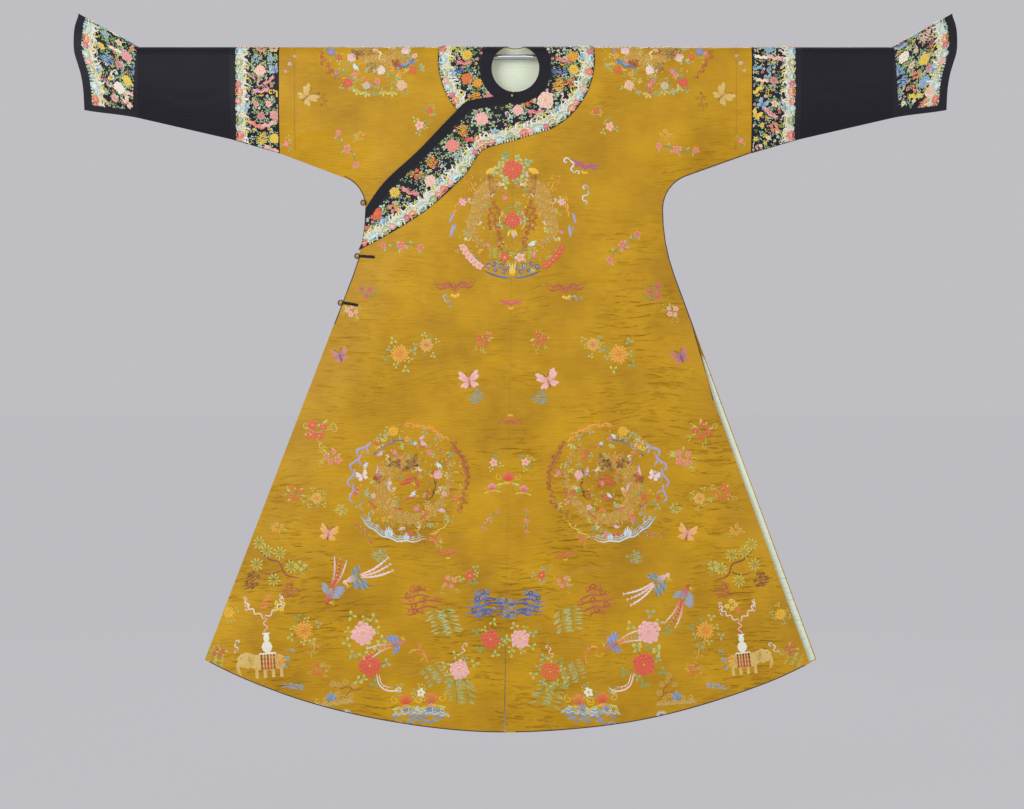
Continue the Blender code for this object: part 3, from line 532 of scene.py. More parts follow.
def silk(name, base, deep, roughness, rib=0.25, pucker=0.0, shine=0.3, glow=0.0):
    """Woven silk: ribs a thread apart, a slow change of tone, and short sharp wrinkles in patches. The
    wrinkles' troughs darken the base colour as painted shade, more towards the bottom and the right.

    Real ribs are 0.2 mm apart, too fine for the picture, so they are drawn at THREAD_MM.
    """
    made, tree, shader = finish(name, base, roughness, Specular_IOR_Level=shine, Anisotropic=0.3)
    cut = node(tree, "ShaderNodeUVMap", uv_map="cut").outputs["UV"]
    tone = node(tree, "ShaderNodeTexNoise", [("Vector", cut)], Scale=7.0, Detail=3.0, Roughness=0.6)
    slub_place = node(tree, "ShaderNodeMapping", [("Vector", cut)], Scale=(30.0, 700.0, 1.0))
    slub = node(tree, "ShaderNodeTexNoise", [("Vector", slub_place.outputs["Vector"])], Scale=1.0, Detail=2.0)
    slub_share = node(tree, "ShaderNodeMath", [(0, slub.outputs["Fac"])], operation="MULTIPLY")
    slub_share.inputs[1].default_value = 0.35
    both = node(tree, "ShaderNodeMath", [(0, tone.outputs["Fac"]), (1, slub_share.outputs[0])],
                operation="ADD")
    sway = node(tree, "ShaderNodeTexNoise", [("Vector", cut)], Scale=4.5, Detail=1.0)
    swayed = node(tree, "ShaderNodeVectorMath", [(0, sway.outputs["Color"])], operation="MULTIPLY")
    swayed.inputs[1].default_value = (0.0, WRINKLE_SWAY, 0.0)
    moved = node(tree, "ShaderNodeVectorMath", [(0, cut), (1, swayed.outputs[0])], operation="ADD")
    across = node(tree, "ShaderNodeMapping", [("Vector", moved.outputs[0])], Scale=(24.0, 118.0, 1.0))
    folds = node(tree, "ShaderNodeTexNoise", [("Vector", across.outputs["Vector"])], Scale=1.0, Detail=2.5,
                 Roughness=0.5, Distortion=0.9)
    sharp = node(tree, "ShaderNodeMapRange", [("Value", folds.outputs["Fac"])], From_Min=0.26, From_Max=0.50,
                 interpolation_type="SMOOTHSTEP")
    patch = node(tree, "ShaderNodeTexNoise", [("Vector", cut)], Scale=5.5, Detail=2.0)
    where = node(tree, "ShaderNodeMapRange", [("Value", patch.outputs["Fac"])], From_Min=0.40, From_Max=0.62,
                 interpolation_type="SMOOTHSTEP")
    # Painted shade: the wrinkles grow towards the bottom and the right, and their troughs darken the colour
    # there.
    spot = node(tree, "ShaderNodeSeparateXYZ",
                [("Vector", node(tree, "ShaderNodeTexCoord").outputs["Object"])])
    low = node(tree, "ShaderNodeMapRange", [("Value", spot.outputs["Z"])], From_Min=CALM_Z,
               From_Max=CREASED_Z,
               To_Min=0.10, To_Max=0.95)
    right = node(tree, "ShaderNodeMapRange", [("Value", spot.outputs["X"])], From_Min=-0.04, From_Max=0.12,
                 To_Min=0.0, To_Max=0.40)
    crease_shade_and_wear = node(tree, "ShaderNodeMath", [(0, low.outputs[0]), (1, right.outputs[0])], operation="ADD",
                use_clamp=True)
    crease_shade_here = node(tree, "ShaderNodeMath", [(0, crease_shade_and_wear.outputs[0]), (1, where.outputs[0])],
                     operation="MULTIPLY")
    wrinkled = node(tree, "ShaderNodeMix", [("Factor", crease_shade_here.outputs[0])], data_type="FLOAT")
    wrinkled.inputs[2].default_value = 1.0
    tree.links.new(sharp.outputs[0], wrinkled.inputs[3])
    ramp = node(tree, "ShaderNodeMapRange", [("Value", both.outputs[0])], From_Min=0.45, From_Max=0.85)
    # The random tone and the painted crease shade pick between the deep and the base colour.
    tone_and_crease_shade = node(tree, "ShaderNodeMath", [(0, ramp.outputs[0]), (1, wrinkled.outputs[0])], operation="MULTIPLY")
    mixed = node(tree, "ShaderNodeMix", [("Factor", tone_and_crease_shade.outputs[0])], data_type="RGBA")
    mixed.inputs[6].default_value = colour(deep)
    mixed.inputs[7].default_value = colour(base)
    tree.links.new(mixed.outputs[2], shader.inputs["Base Color"])
    # Painted light: a weak emission in the silk's own colour lightens it. The lining uses it, since it hangs
    # in the robe's shade.
    if glow:
        tree.links.new(mixed.outputs[2], shader.inputs["Emission Color"])
        shader.inputs["Emission Strength"].default_value = glow
    ribs = node(tree, "ShaderNodeTexWave", [("Vector", cut)], bands_direction="Y",
                Scale=1000.0 / THREAD_MM / (2 * math.pi) * 0.314, Distortion=0.4)
    fine = node(tree, "ShaderNodeBump", [("Height", ribs.outputs["Fac"])], Strength=rib, Distance=0.0002)
    soft = node(tree, "ShaderNodeBump", [("Height", wrinkled.outputs[0]), ("Normal", fine.outputs["Normal"])],
                Strength=1.0, Distance=pucker)
    broad = node(tree, "ShaderNodeBump",
                 [("Height", folds.outputs["Fac"]), ("Normal", soft.outputs["Normal"])],
                 Strength=1.0, Distance=pucker * 0.8)
    tree.links.new(broad.outputs["Normal"], shader.inputs["Normal"])
    return made


gold_satin = silk("gold_silk_satin", "c8980c", "a87a06", 0.46, pucker=0.0016, shine=0.22)
navy_satin = silk("navy_silk_satin", "1e1e27", "191920", 0.55, pucker=0.0008, shine=0.2)
navy_silk = silk("plain_navy_silk", "1d1d25", "191920", 0.60, rib=0.5, pucker=0.0003, shine=0.15)
# The lining's glow is painted light that lightens it in the robe's shade.
mint_silk = silk("mint_silk_lining", "dbe5d0", "cbd6be", 0.55, pucker=0.0009, glow=0.12)


# %% [markdown]
# The panels. Each outline is the model's own, so every seam falls where the solids meet. The front
# and back satin end at the sleeve bands, the left front's side is cut back to show the lining, and
# the right front runs on under the overlap.

# %% Outlines of the satin
def within_sleeve(path):
    return [(x, z) for x, z in path if abs(x) < BAND_START - GAP or z < ARMPIT[1]]


def neck_bottom(side):
    """The angle on the neck's lower half where the middle seam meets it."""
    return -math.acos((centre_x(NECK[1] - NECK_RADIUS) + side * SEAM - NECK[0]) / NECK_RADIUS)


def left_front_cut():
    neck = neck_arc(NECK_RADIUS, neck_bottom(1), ridge_angle(NECK_RADIUS, NECK[1], 1), 28)
    seam = within_sleeve(SEAMS[(True, True)])
    sleeve_end = BAND_START - SEAM
    bottom = leaned(hem(hem_corner()[0] - VENT_INSET, 0.0, 40)[1:-1])
    return on_front(neck + [(sleeve_end, FORM_RADIUS), (sleeve_end, sleeve_seam_z(BAND_START))] + seam[1:]
                    + bottom + centre_edge(1))


def overlap_top():
    neck = neck_arc(NECK_RADIUS, neck_bottom(-1), 0.0, 1)[0]
    return through([neck, *OVERLAP_EDGE, SEAMS[(False, True)][10]], 6)


def overlap_cut():
    bottom = mirrored(hem(hem_corner()[0], 0.0, 40)[1:-1])
    return on_front(overlap_top() + SEAMS[(False, True)][11:] + leaned(bottom) + centre_edge(-1))


def under_front_cut():
    neck = neck_arc(NECK_RADIUS, neck_bottom(-1), ridge_angle(NECK_RADIUS, NECK[1], -1) - 2 * math.pi, 28)
    seam = [p for p in within_sleeve(SEAMS[(False, True)]) if p[1] > UNDER_FRONT_Z + 0.001]
    sleeve_end = SEAM - BAND_START
    low = leaned([(UNDER_FRONT_INSET - side_x(UNDER_FRONT_Z), UNDER_FRONT_Z)])
    return on_front(neck + [(sleeve_end, FORM_RADIUS), (sleeve_end, sleeve_seam_z(BAND_START))] + seam[1:]
                    + low + [(centre_x(UNDER_FRONT_Z) - SEAM, UNDER_FRONT_Z)])


def back_neck(half, depth, start, end, steps=24):
    """The low curve of the neck on the back, as flat points."""
    return [(NECK[0] + half * math.sin(a), -SEAM - depth * math.cos(a)) for a in np.linspace(start, end,
                                                                                             steps + 1)]


def half_at_ridge(radius):
    return radius * math.cos(ridge_angle(radius, NECK[1], 1))


def back_cut(wearers_left):
    side = 1 if wearers_left else -1
    half = half_at_ridge(NECK_RADIUS)
    start = math.asin((centre_x(0.0) + side * SEAM - NECK[0]) / half)
    neck = back_neck(half, BACK_NECK_DEPTH, start, side * math.pi / 2, 14)
    seam = within_sleeve(SEAMS[(wearers_left, False)])
    sleeve_end = side * (BAND_START - SEAM)
    bottom = hem(hem_corner()[0], 0.0, 40)[1:-1]
    bottom = bottom if wearers_left else mirrored(bottom)
    return neck + [(sleeve_end, -SEAM)] + on_back(
        [(sleeve_end, sleeve_seam_z(BAND_START))] + seam[1:] + leaned(bottom) + centre_edge(side))


def satin(node_name, outline, tucked=False):
    return cloth(node_name, outline, -SATIN, 0.0, gold_satin, tucked)


satin("front_left", left_front_cut())
satin("front_overlap", overlap_cut())
satin("front_under", under_front_cut(), tucked=True)
satin("back_left", back_cut(True))
satin("back_right", back_cut(False))

# %% The lining of the back
LINING_SHOULDER = 0.0720
LINING_SIDE = 0.3100
LINING_DROP = 0.0700
LINING_SEAM_INSET = 0.0180
LINING_INSET = 0.0020
LINING_VENT_DROP = 0.0200
LINING_SLIT_DROP = 0.0750


def lined_side():
    vent_z, slit_z = VENT_TOP_Z - LINING_VENT_DROP, VENT_TOP_Z - LINING_SLIT_DROP
    vent = (side_x(vent_z, LINING_SEAM_INSET), vent_z)
    slit = (side_x(slit_z, LINING_INSET), slit_z)
    return armhole(LINING_SEAM_INSET)[3:] + [vent, slit, hem_corner(LINING_INSET)]


def lining_cut():
    neck = back_neck(half_at_ridge(NECK_RADIUS), BACK_NECK_DEPTH, -math.pi / 2, math.pi / 2)
    corner = lined_side()[-1][0]
    low = on_back(leaned(hem(corner, -corner, 80, LINING_INSET)[1:-1]))
    left = [(LINING_SHOULDER, -SEAM), (LINING_SHOULDER, -LINING_DROP), (LINING_SIDE, -LINING_DROP)]
    left += [(x, -to_t(x, z)) for x, z in leaned(lined_side())]
    right = [(-LINING_SHOULDER, -SEAM), (-LINING_SHOULDER, -LINING_DROP), (-LINING_SIDE, -LINING_DROP)]
    right += [(x, -to_t(x, z)) for x, z in leaned(mirrored(lined_side()))]
    return neck + left + low + right[::-1]


cloth("back_lining", lining_cut(), -SATIN - GAP - LINING, -SATIN - GAP, mint_silk,
      step=0.011)

# %% Collar and binding
COLLAR_STEP = 0.0065


def laid_on(node_name, outline, finish_used, tucked=False):
    return cloth(node_name, outline, GAP, GAP + BORDER, finish_used, tucked,
                 step=COLLAR_STEP)


def overlap_lines():
    """The binding's far edge, the collar's near edge, and the seam points beside them."""
    edge = overlap_top()[1:]
    inner = NECK_RADIUS + FACING_WIDTH
    low = math.radians(-100)
    line = neck_arc(inner, ridge_angle(inner, NECK[1], 1), low)
    limit = line[-1][0] - 0.012
    beside = [p for p in curve_beside(edge, -EDGE_FACING_WIDTH) if p[0] < limit]
    end_z = beside[-1][1] - EDGE_FACING_DROP
    line = line + beside + [(seam_x(SEAMS[(False, True)], end_z), end_z)]
    side = [p for p in SEAMS[(False, True)][10:] if p[1] > BORDER_EDGE[0][1] + 0.012]
    return edge, line, curve_beside(line, -GAP), side


def border_line():
    """The outer edge of the collar, from the armpit to the shoulder."""
    ridge = ridge_angle(COLLAR_RADIUS, COLLAR[1], 1)
    return through(BORDER_EDGE, 6) + collar_arc(BORDER_LEAVES_RING, ridge)


def collar_overlap_cut():
    _, _, parting, side = overlap_lines()
    return on_front(parting + [p for p in side if p[1] < parting[-1][1] - 0.004] + border_line())


def binding_overlap_cut():
    edge, line, _, side = overlap_lines()
    neck = neck_arc(NECK_RADIUS, ridge_angle(NECK_RADIUS, NECK[1], 1), neck_bottom(-1))
    return on_front(neck + edge + [p for p in side if p[1] > line[-1][1] + 0.004][1:] + line[::-1])


def under_ring(inner_radius, outer_arc):
    return outer_arc + neck_arc(inner_radius, UNDER_END, ridge_angle(inner_radius, NECK[1], -1) - 2 * math.pi)


def back_ring(near_half, near_depth, far):
    return back_neck(near_half, near_depth, math.pi / 2, -math.pi / 2) + far


UNDER_END = math.radians(-97)
FACED = NECK_RADIUS + FACING_WIDTH
laid_on("collar_overlap", collar_overlap_cut(), navy_satin)
laid_on("binding_overlap", binding_overlap_cut(), navy_silk)
under_outer = collar_arc(ridge_angle(COLLAR_RADIUS, COLLAR[1], -1) - 2 * math.pi, UNDER_END)
laid_on("collar_under", on_front(under_ring(FACED + GAP, under_outer)), navy_satin, tucked=True)
under_near = neck_arc(FACED, ridge_angle(FACED, NECK[1], -1) - 2 * math.pi, UNDER_END)
laid_on("binding_under", on_front(under_ring(NECK_RADIUS, under_near)), navy_silk, tucked=True)
neck_half, faced_half = half_at_ridge(NECK_RADIUS), half_at_ridge(FACED)
faced_depth = BACK_NECK_DEPTH + FACING_WIDTH
laid_on("binding_back",
        back_ring(neck_half, BACK_NECK_DEPTH, back_neck(faced_half, faced_depth, -math.pi / 2, math.pi / 2)),
        navy_silk)
ridge = ridge_angle(COLLAR_RADIUS, COLLAR[1], 1)
back_outer = on_back(collar_arc(-math.pi - ridge, ridge, 60))
laid_on("collar_back", back_ring(faced_half + GAP, faced_depth + GAP, back_outer), navy_satin)


# %% Sleeve bands, sleeve ends and cuffs
def sleeve_cut(start, end, side):
    low = [(start + SEAM, sleeve_seam_z(start)), (end - SEAM, sleeve_seam_z(end))]
    front = [(side * x, to_t(x, z)) for x, z in low]
    return front + [(x, -t) for x, t in reversed(front)]


def cuff_cut(side):
    front = [(side * x, max(0.0, to_t(x, z))) for x, z in through(CUFF_MOUTH, 5)]
    start = CUFF_START + SEAM
    low = (side * start, to_t(start, sleeve_seam_z(start)))
    return [low, *front[::-1], *[(x, -t) for x, t in front[1:]], (low[0], -low[1])]


for side, name in ((1, "left"), (-1, "right")):
    cloth("sleeve_band_" + name, sleeve_cut(BAND_START, BAND_END, side), -SATIN, 0.0, navy_satin,
          step=0.007)
    cloth("sleeve_end_" + name, sleeve_cut(BAND_END, CUFF_START, side), -SATIN, 0.0, navy_silk,
          step=0.007)
    cloth("cuff_" + name, cuff_cut(side), -SATIN, 0.0, navy_satin, step=0.006)

# %% [markdown]
# The embroidery. On the real robe every motif is laid in satin stitch and couched thread, so it
# stands a little proud and shades from one silk to the next. Here each stitch group is a small
# low ridge of real geometry: a leaf shape or a line with a raised middle and sunk edges. A motif is
# drawn flat in millimetres, in its own frame, and its points are then hung on the same form as
# the cloth. All the stitching of a panel is one mesh, with its silk colours in an attribute.

# %% Silks
SILK = {name: np.array(colour(text)) for name, text in dict(
    cream="efe3c2", white="eeece4", pale_green="c4d3a8", mint="a3c4a8", leaf="86a04a", green="4f7d52",
    yellow="ecb92a", lemon="e6d45e", orange="e0852c", coral="e26a48", red="d5482a", pink="eb9f98",
    pale_pink="f3c6bd", rose="c7526a", purple="8d6190", lilac="b69dc2", blue="5c7dba", navy="33508f",
    grey="93a6ae", aqua="a6d0d4", haze="a3a9c8", sage="93a266", flame="c4682c", pale_sage="b3bd86",
    brown="a45c22", dark="5f3a1e", tan="cfa850", pale_tan="dcbc6c", deep_tan="b08a34", ink="2d2a33",
    gold="c49a2e", old_gold="a97a18", body="c08f18",
).items()}
EDGE_SUNK = -0.00030
CREST = 0.00065
LAYER = 0.00022


class Stitches:
    """All the stitching of one panel."""

    def __init__(self, greens):
        self.places, self.heights, self.tones, self.faces = [], [], [], []
        self.count = 0
        self.greens = greens

    def add(self, places, heights, tones, faces):
        self.places.append(places)
        self.heights.append(heights)
        self.tones.append(tones)
        self.faces += [tuple(v + self.count for v in face) for face in faces]
        self.count += len(places)


class Pen:
    """Draws in millimetres at a place on the cut, with a turn, a size and a hand."""

    def __init__(self, panel, place, size=1.0, turn=0.0, hand=1, up=1, lift=0):
        self.panel, self.place, self.size, self.hand, self.up, self.lift = panel, place, size, hand, up, lift
        self.turn = math.radians(turn)

    def to_cut(self, points):
        u, v = points[:, 0] * self.hand, points[:, 1]
        c, s = math.cos(self.turn) * self.size / 1000, math.sin(self.turn) * self.size / 1000
        return np.stack((self.place[0] + u * c - v * s, self.place[1] - self.up * (u * s + v * c)), axis=1)

    def put(self, points, heights, tones, faces, lift=0):
        raised = np.asarray(heights) + (self.lift + lift) * LAYER
        self.panel.add(self.to_cut(np.asarray(points, float)), raised, np.asarray(tones), faces)

    def any_green(self, rng):
        return rng.choice(self.panel.greens)

    def at(self, u, v, turn=0.0, size=1.0, lift=0, hand=1):
        """Another pen, placed in this one's frame."""
        place = self.to_cut(np.array([[u, v]]))[0]
        grown = Pen(self.panel, place, self.size * size, 0.0, self.hand * hand, self.up, self.lift + lift)
        grown.turn = self.turn + math.radians(turn) * self.hand
        return grown


def tone_of(name):
    return SILK[name] if isinstance(name, str) else name


LEAF_PROFILE = ((0.0, 0.0), (0.22, 0.72), (0.5, 1.0), (0.78, 0.74), (1.0, 0.0))


def leaf(pen, a, b, width, base, tip=None, lift=0, bow=0.0):
    """One padded petal or leaf from a to b."""
    a, b = np.array(a, float), np.array(b, float)
    along = b - a
    length = float(np.hypot(*along)) or 1e-6
    across = np.array([-along[1], along[0]]) / length
    base, tip = tone_of(base), tone_of(tip if tip is not None else base)
    points, heights, tones = [], [], []
    for share, wide in LEAF_PROFILE:
        middle = a + along * share + across * bow * math.sin(math.pi * share)
        shade = base * (1 - share) + tip * share
        if wide == 0.0:
            points.append(middle)
            heights.append(EDGE_SUNK)
            tones.append(shade)
            continue
        for side in (-1, 0, 1):
            points.append(middle + across * side * wide * width / 2)
            heights.append(CREST if side == 0 else EDGE_SUNK)
            tones.append(shade)
    faces = [(0, 1, 2), (0, 2, 3), (1, 4, 5, 2), (2, 5, 6, 3), (4, 7, 8, 5), (5, 8, 9, 6), (7, 10, 8),
             (8, 10, 9)]
    pen.put(points, heights, tones, faces, lift)


def line(pen, points, width, tone, end=None, taper=True, lift=0, crest=CREST):
    """A line of thread or a band along points, narrow at its ends where it tapers."""
    points = np.array(points, float)
    step = np.gradient(points, axis=0)
    step /= np.maximum(np.hypot(step[:, 0], step[:, 1]), 1e-9)[:, None]
    across = np.stack((-step[:, 1], step[:, 0]), axis=1)
    share = np.linspace(0.0, 1.0, len(points))
    wide = np.full(len(points), width / 2)
    if taper:
        wide = wide * np.clip(np.minimum(share * 6 + 0.25, (1 - share) * 3 + 0.15), 0.0, 1.0)
    rows = np.concatenate([points - across * wide[:, None], points, points + across * wide[:, None]])
    first, last = tone_of(tone), tone_of(end if end is not None else tone)
    shade = first[None, :] * (1 - share[:, None]) + last[None, :] * share[:, None]
    count = len(points)
    heights = np.concatenate([np.full(count, EDGE_SUNK), np.full(count, crest), np.full(count, EDGE_SUNK)])
    faces = []
    for n in range(count - 1):
        faces += [(n, n + 1, n + 1 + count, n + count),
                  (n + count, n + 1 + count, n + 1 + 2 * count, n + 2 * count)]
    pen.put(rows, heights, np.concatenate([shade] * 3), [f[::-1] for f in faces], lift)


def bent(points, steps=4):
    return through(points, steps)


CURL_STEPS = 9


def curl(pen, centre, radius, width, tone, turns=1.3, start=0.0, hand=1, end=None, lift=0):
    """A thread that winds in to its middle."""
    spots = []
    count = int(CURL_STEPS * turns)
    for k in range(count + 1):
        share = k / count
        angle = math.radians(start) + hand * 2 * math.pi * turns * share
        reach = radius * (1 - 0.85 * share)
        spots.append((centre[0] + reach * math.cos(angle), centre[1] + reach * math.sin(angle)))
    line(pen, spots, width, tone, end, lift=lift)


def ring(pen, centre, radius, width, tone, start=0, stop=360, lift=0, steps=14):
    angles = np.radians(np.linspace(start, stop, steps))
    spots = [(centre[0] + radius * math.cos(a), centre[1] + radius * math.sin(a)) for a in angles]
    line(pen, spots, width, tone, taper=False, lift=lift)


def dot(pen, centre, radius, tone, lift=0):
    u, v = centre
    leaf(pen, (u - radius, v), (u + radius, v), radius * 2.1, tone, lift=lift)


# %% Flowers and leaves
def petals(pen, centre, inner, outer, count, width, base, tip, turn=0.0, lift=0):
    for k in range(count):
        angle = math.radians(turn) + 2 * math.pi * k / count
        c, s, far = math.cos(angle), math.sin(angle), outer * (1 + 0.10 * math.sin(k * 2.4 + turn))
        leaf(pen, (centre[0] + inner * c, centre[1] + inner * s), (centre[0] + far * c, centre[1] + far * s),
             width, base, tip, lift)


def trefoil(pen, centre, reach, rng, tones=("leaf", "pale_green")):
    """Three round leaves on one stalk."""
    turn = rng.uniform(0, 2 * math.pi)
    for k in range(3):
        angle = turn + k * 1.9
        end = (centre[0] + reach * math.cos(angle), centre[1] + reach * math.sin(angle))
        leaf(pen, centre, end, reach * 0.72, tones[0], tones[1])


NAVY_GREENS = (("leaf", "pale_green"), ("green", "pale_green"), ("green", "leaf"), ("mint", "pale_green"))
GOLD_GREENS = (("leaf", "sage"), ("sage", "pale_sage"), ("leaf", "lemon"), ("sage", "lemon"))


def greens(pen, reach, rng, count=3):
    """Stalks that leave a flower on all sides, each with a trefoil at its tip."""
    first = rng.uniform(0, 2 * math.pi)
    for k in range(count):
        angle = first + 2 * math.pi * (k + rng.uniform(-0.2, 0.2)) / count
        c, s = math.cos(angle), math.sin(angle)
        spread = reach * rng.uniform(1.35, 1.75)
        line(pen, [(reach * 0.6 * c, reach * 0.6 * s), (spread * c, spread * s)], reach * 0.09, "green")
        trefoil(pen, (spread * c, spread * s), max(4.6, reach * 0.50), rng, pen.any_green(rng))
        if rng.random() < 0.6:
            trefoil(pen, (reach * 1.2 * math.cos(angle + 0.7), reach * 1.2 * math.sin(angle + 0.7)),
                    max(3.8, reach * 0.4), rng, pen.any_green(rng))


def peony(pen, rng, tones=("coral", "pale_pink"), radius=12.0, leaves=5):
    """A full round flower: small cupped petals in rings, dark at their feet and pale at their lips."""
    greens(pen, radius, rng, leaves)
    for ring_share, count in ((0.98, 11), (0.72, 9), (0.44, 6)):
        petals(pen, (0, 0), radius * (ring_share - 0.42), radius * ring_share, count, radius * 0.50,
               tones[0], tones[1], turn=rng.uniform(0, 60), lift=1 + (1 - ring_share) * 4)
    petals(pen, (0, 0), 0, radius * 0.22, 4, radius * 0.2, "yellow", tones[0], lift=4)


def chrysanthemum(pen, rng, tones=("orange", "yellow"), radius=11.0, leaves=4):
    greens(pen, radius, rng, leaves)
    for share, count in ((1.0, 16), (0.76, 14), (0.52, 10), (0.28, 6)):
        petals(pen, (0, 0), radius * share * 0.45, radius * share, count, radius * 0.24, tones[0], tones[1],
               turn=rng.uniform(0, 20), lift=1 + (1 - share) * 4)
    dot(pen, (0, 0), radius * 0.18, tones[0], lift=5)


def blossom(pen, rng, tones=("pink", "pale_pink"), radius=6.0, leaves=3):
    greens(pen, radius, rng, leaves)
    petals(pen, (0, 0), radius * 0.1, radius, 5, radius * 0.78, tones[0], tones[1], turn=rng.uniform(0, 70),
           lift=1)
    petals(pen, (0, 0), 0, radius * 0.32, 5, radius * 0.18, "yellow", "yellow", lift=2)


def spray(pen, rng, tones=("coral", "pink"), radius=22.0, leaves=7):
    """A bent stem with leaves in pairs and two or three open flowers."""
    stem = bent([(-radius, -radius * 0.5), (-radius * 0.3, rng.uniform(-4, 4)),
                 (radius * 0.3, rng.uniform(-3, 5)),
                 (radius, radius * 0.5)])
    line(pen, stem, 1.3, "green", "leaf")
    for k in range(leaves):
        u, v = stem[int((k + 0.5) / leaves * (len(stem) - 1))]
        side = 1 if k % 2 else -1
        angle = rng.uniform(0.7, 1.5) * side
        leaf(pen, (u, v), (u + 7.5 * math.cos(angle), v + 8.5 * math.sin(angle)), 3.4, "green", "pale_green")
    for share, size in ((0.0, 0.8), (0.55, 1.0), (1.0, 0.75)):
        u, v = stem[int(share * (len(stem) - 1))]
        blossom(pen.at(u, v, lift=1), rng, tones, 6.2 * size, 0)


def orchid(pen, rng, tones=("rose", "coral"), radius=16.0):
    for angle in (30, 75, 120, 160):
        c, s = math.cos(math.radians(angle)), math.sin(math.radians(angle))
        leaf(pen, (0, -10), (radius * 1.2 * c, radius * 1.2 * s), 2.6, "green", "leaf", bow=4)
    for u, v in ((-6, 3), (5, 7), (1, -5)):
        petals(pen, (u, v), 0, 6.5, 5, 2.8, tones[0], tones[1], turn=rng.uniform(0, 70), lift=1)


def vine(pen, rng, tones=("red", "coral"), radius=20.0):
    """A cut branch of bright flowers with yellow-green leaves."""
    for k in range(7):
        angle = math.radians(rng.uniform(-30, 210))
        reach = radius * rng.uniform(0.5, 1.05)
        u, v = reach * math.cos(angle), reach * math.sin(angle) - 4
        leaf(pen, (u * 0.4, v * 0.4), (u, v), 4.0, "leaf", "lemon")
    for k in range(4):
        angle = rng.uniform(0, 2 * math.pi)
        u, v = radius * math.cos(angle), radius * 0.8 * math.sin(angle) - 4
        line(pen, bent([(0, -4), (u * 0.6 + 3, v * 0.5), (u, v)]), 1.2, "leaf", "lemon")
        curl(pen, (u, v), 4.6, 1.3, "lemon", 1.1, rng.uniform(0, 360), rng.choice((-1, 1)), "leaf")
    for u, v in ((-8, 2), (4, 8), (9, -3), (-1, -7)):
        blossom(pen.at(u, v, lift=1), rng, tones, rng.uniform(4.6, 6.4), 0)


def bamboo(pen, rng, tones=("leaf", "pale_green")):
    for start in ((-8, -12), (6, -14)):
        line(pen, [start, (start[0] + 3, 2), (start[0] + 8, 18)], 1.2, "leaf")
        for k in range(7):
            v = -10 + k * 4.2
            u = start[0] + 2 + k * 0.9
            for side in (-1, 1):
                leaf(pen, (u, v), (u + side * rng.uniform(9, 15), v - rng.uniform(1, 6)), 2.2, tones[0],
                     tones[1])


def pine(pen, rng, tones=("leaf", "lemon")):
    """A crooked brown branch with round tufts of needles."""
    line(pen, bent([(-24, -16), (-8, -12), (-2, 0), (10, 4), (22, 14)]), 2.6, "brown", "dark")
    line(pen, bent([(-4, -8), (8, -12), (20, -9)]), 1.9, "dark", "brown")
    for u, v in ((-14, -4), (-2, 10), (12, 12), (22, -2), (4, -18), (20, 20)):
        petals(pen, (u, v), 1, 7.5, 9, 1.7, tones[0], tones[1], turn=rng.uniform(0, 40), lift=1)


# %% Bats, butterflies, birds, clouds and the rest
def bat(pen, rng, tones=("brown", "brown")):
    """Luck flies as a bat: two scalloped wings, a small body and a bright charm beneath."""
    for side in (-1, 1):
        lip = bent([(side * 2, 2), (side * 9, 8), (side * 17, 6), (side * 23, 11)])
        line(pen, lip, 6.4, tones[0], tones[1])
        line(pen, bent([(side * 2, -1), (side * 9, 3), (side * 18, 1), (side * 25, 4)]), 5.0, tones[1],
             tones[0])
        curl(pen, (side * 25, 10), 4.0, 1.2, tones[0], 0.9, 200 if side > 0 else -20, side)
    leaf(pen, (0, -5), (0, 7), 6.5, tones[1], tones[0], lift=1)
    for u in (-4, 0, 4):
        dot(pen, (u, -10 + abs(u) * 0.4), 2.6, "yellow", lift=1)


def butterfly(pen, rng, tones=("pink", "yellow")):
    for side in (-1, 1):
        for angle, reach, wide in ((50, 22, 10), (30, 18, 8), (-24, 15, 8), (-48, 12, 6)):
            c, s = side * math.cos(math.radians(angle)), math.sin(math.radians(angle))
            leaf(pen, (0, 0), (reach * c, reach * s), wide, tones[0], tones[1])
            dot(pen, (reach * 0.7 * c, reach * 0.7 * s), 1.6, tones[1], lift=2)
        line(pen, bent([(side, 7), (side * 5, 13), (side * 8, 12)]), 0.9, "dark")
    leaf(pen, (0, -9), (0, 8), 3.0, "dark", tones[0], lift=2)


def cloud(pen, rng, tones=("brown", "coral")):
    """A ruyi cloud: rows of curled heads on long streaming bands."""
    for row, v in enumerate((11, 5, -1, -7, -12)):
        reach = (9, 16, 22, 17, 10)[row]
        offset = rng.uniform(-5, 5)
        line(pen, bent([(offset - reach, v - 1.2), (offset - reach * 0.3, v + 1.6),
                        (offset + reach * 0.4, v - 1.2),
                        (offset + reach, v + 0.8)]), 3.0, tones[0], tones[1])
        for k in range(1 + row % 2, 4):
            u = offset - reach + 2 * reach * (k - 0.5) / 3.5
            curl(pen, (u, v + 2.6), 3.6, 1.7, tones[(k + row) % 2], 1.2, rng.uniform(0, 360),
                 rng.choice((-1, 1)),
                 lift=1)


def scrolls(pen, rng, tones=("yellow", "orange")):
    """Thin streamers that branch into open curls."""
    line(pen, bent([(-6, -20), (-1, -8), (-3, 4), (4, 14), (0, 22)]), 2.2, tones[0], tones[1])
    for u, v, r, side in ((-8, 12, 5, 1), (8, 8, 5, -1), (-7, -3, 4.5, 1), (7, -8, 4.5, -1), (3, 20, 4, -1)):
        curl(pen, (u, v), r, 1.7, tones[0], 1.1, 90 if side > 0 else -90, side, tones[1])


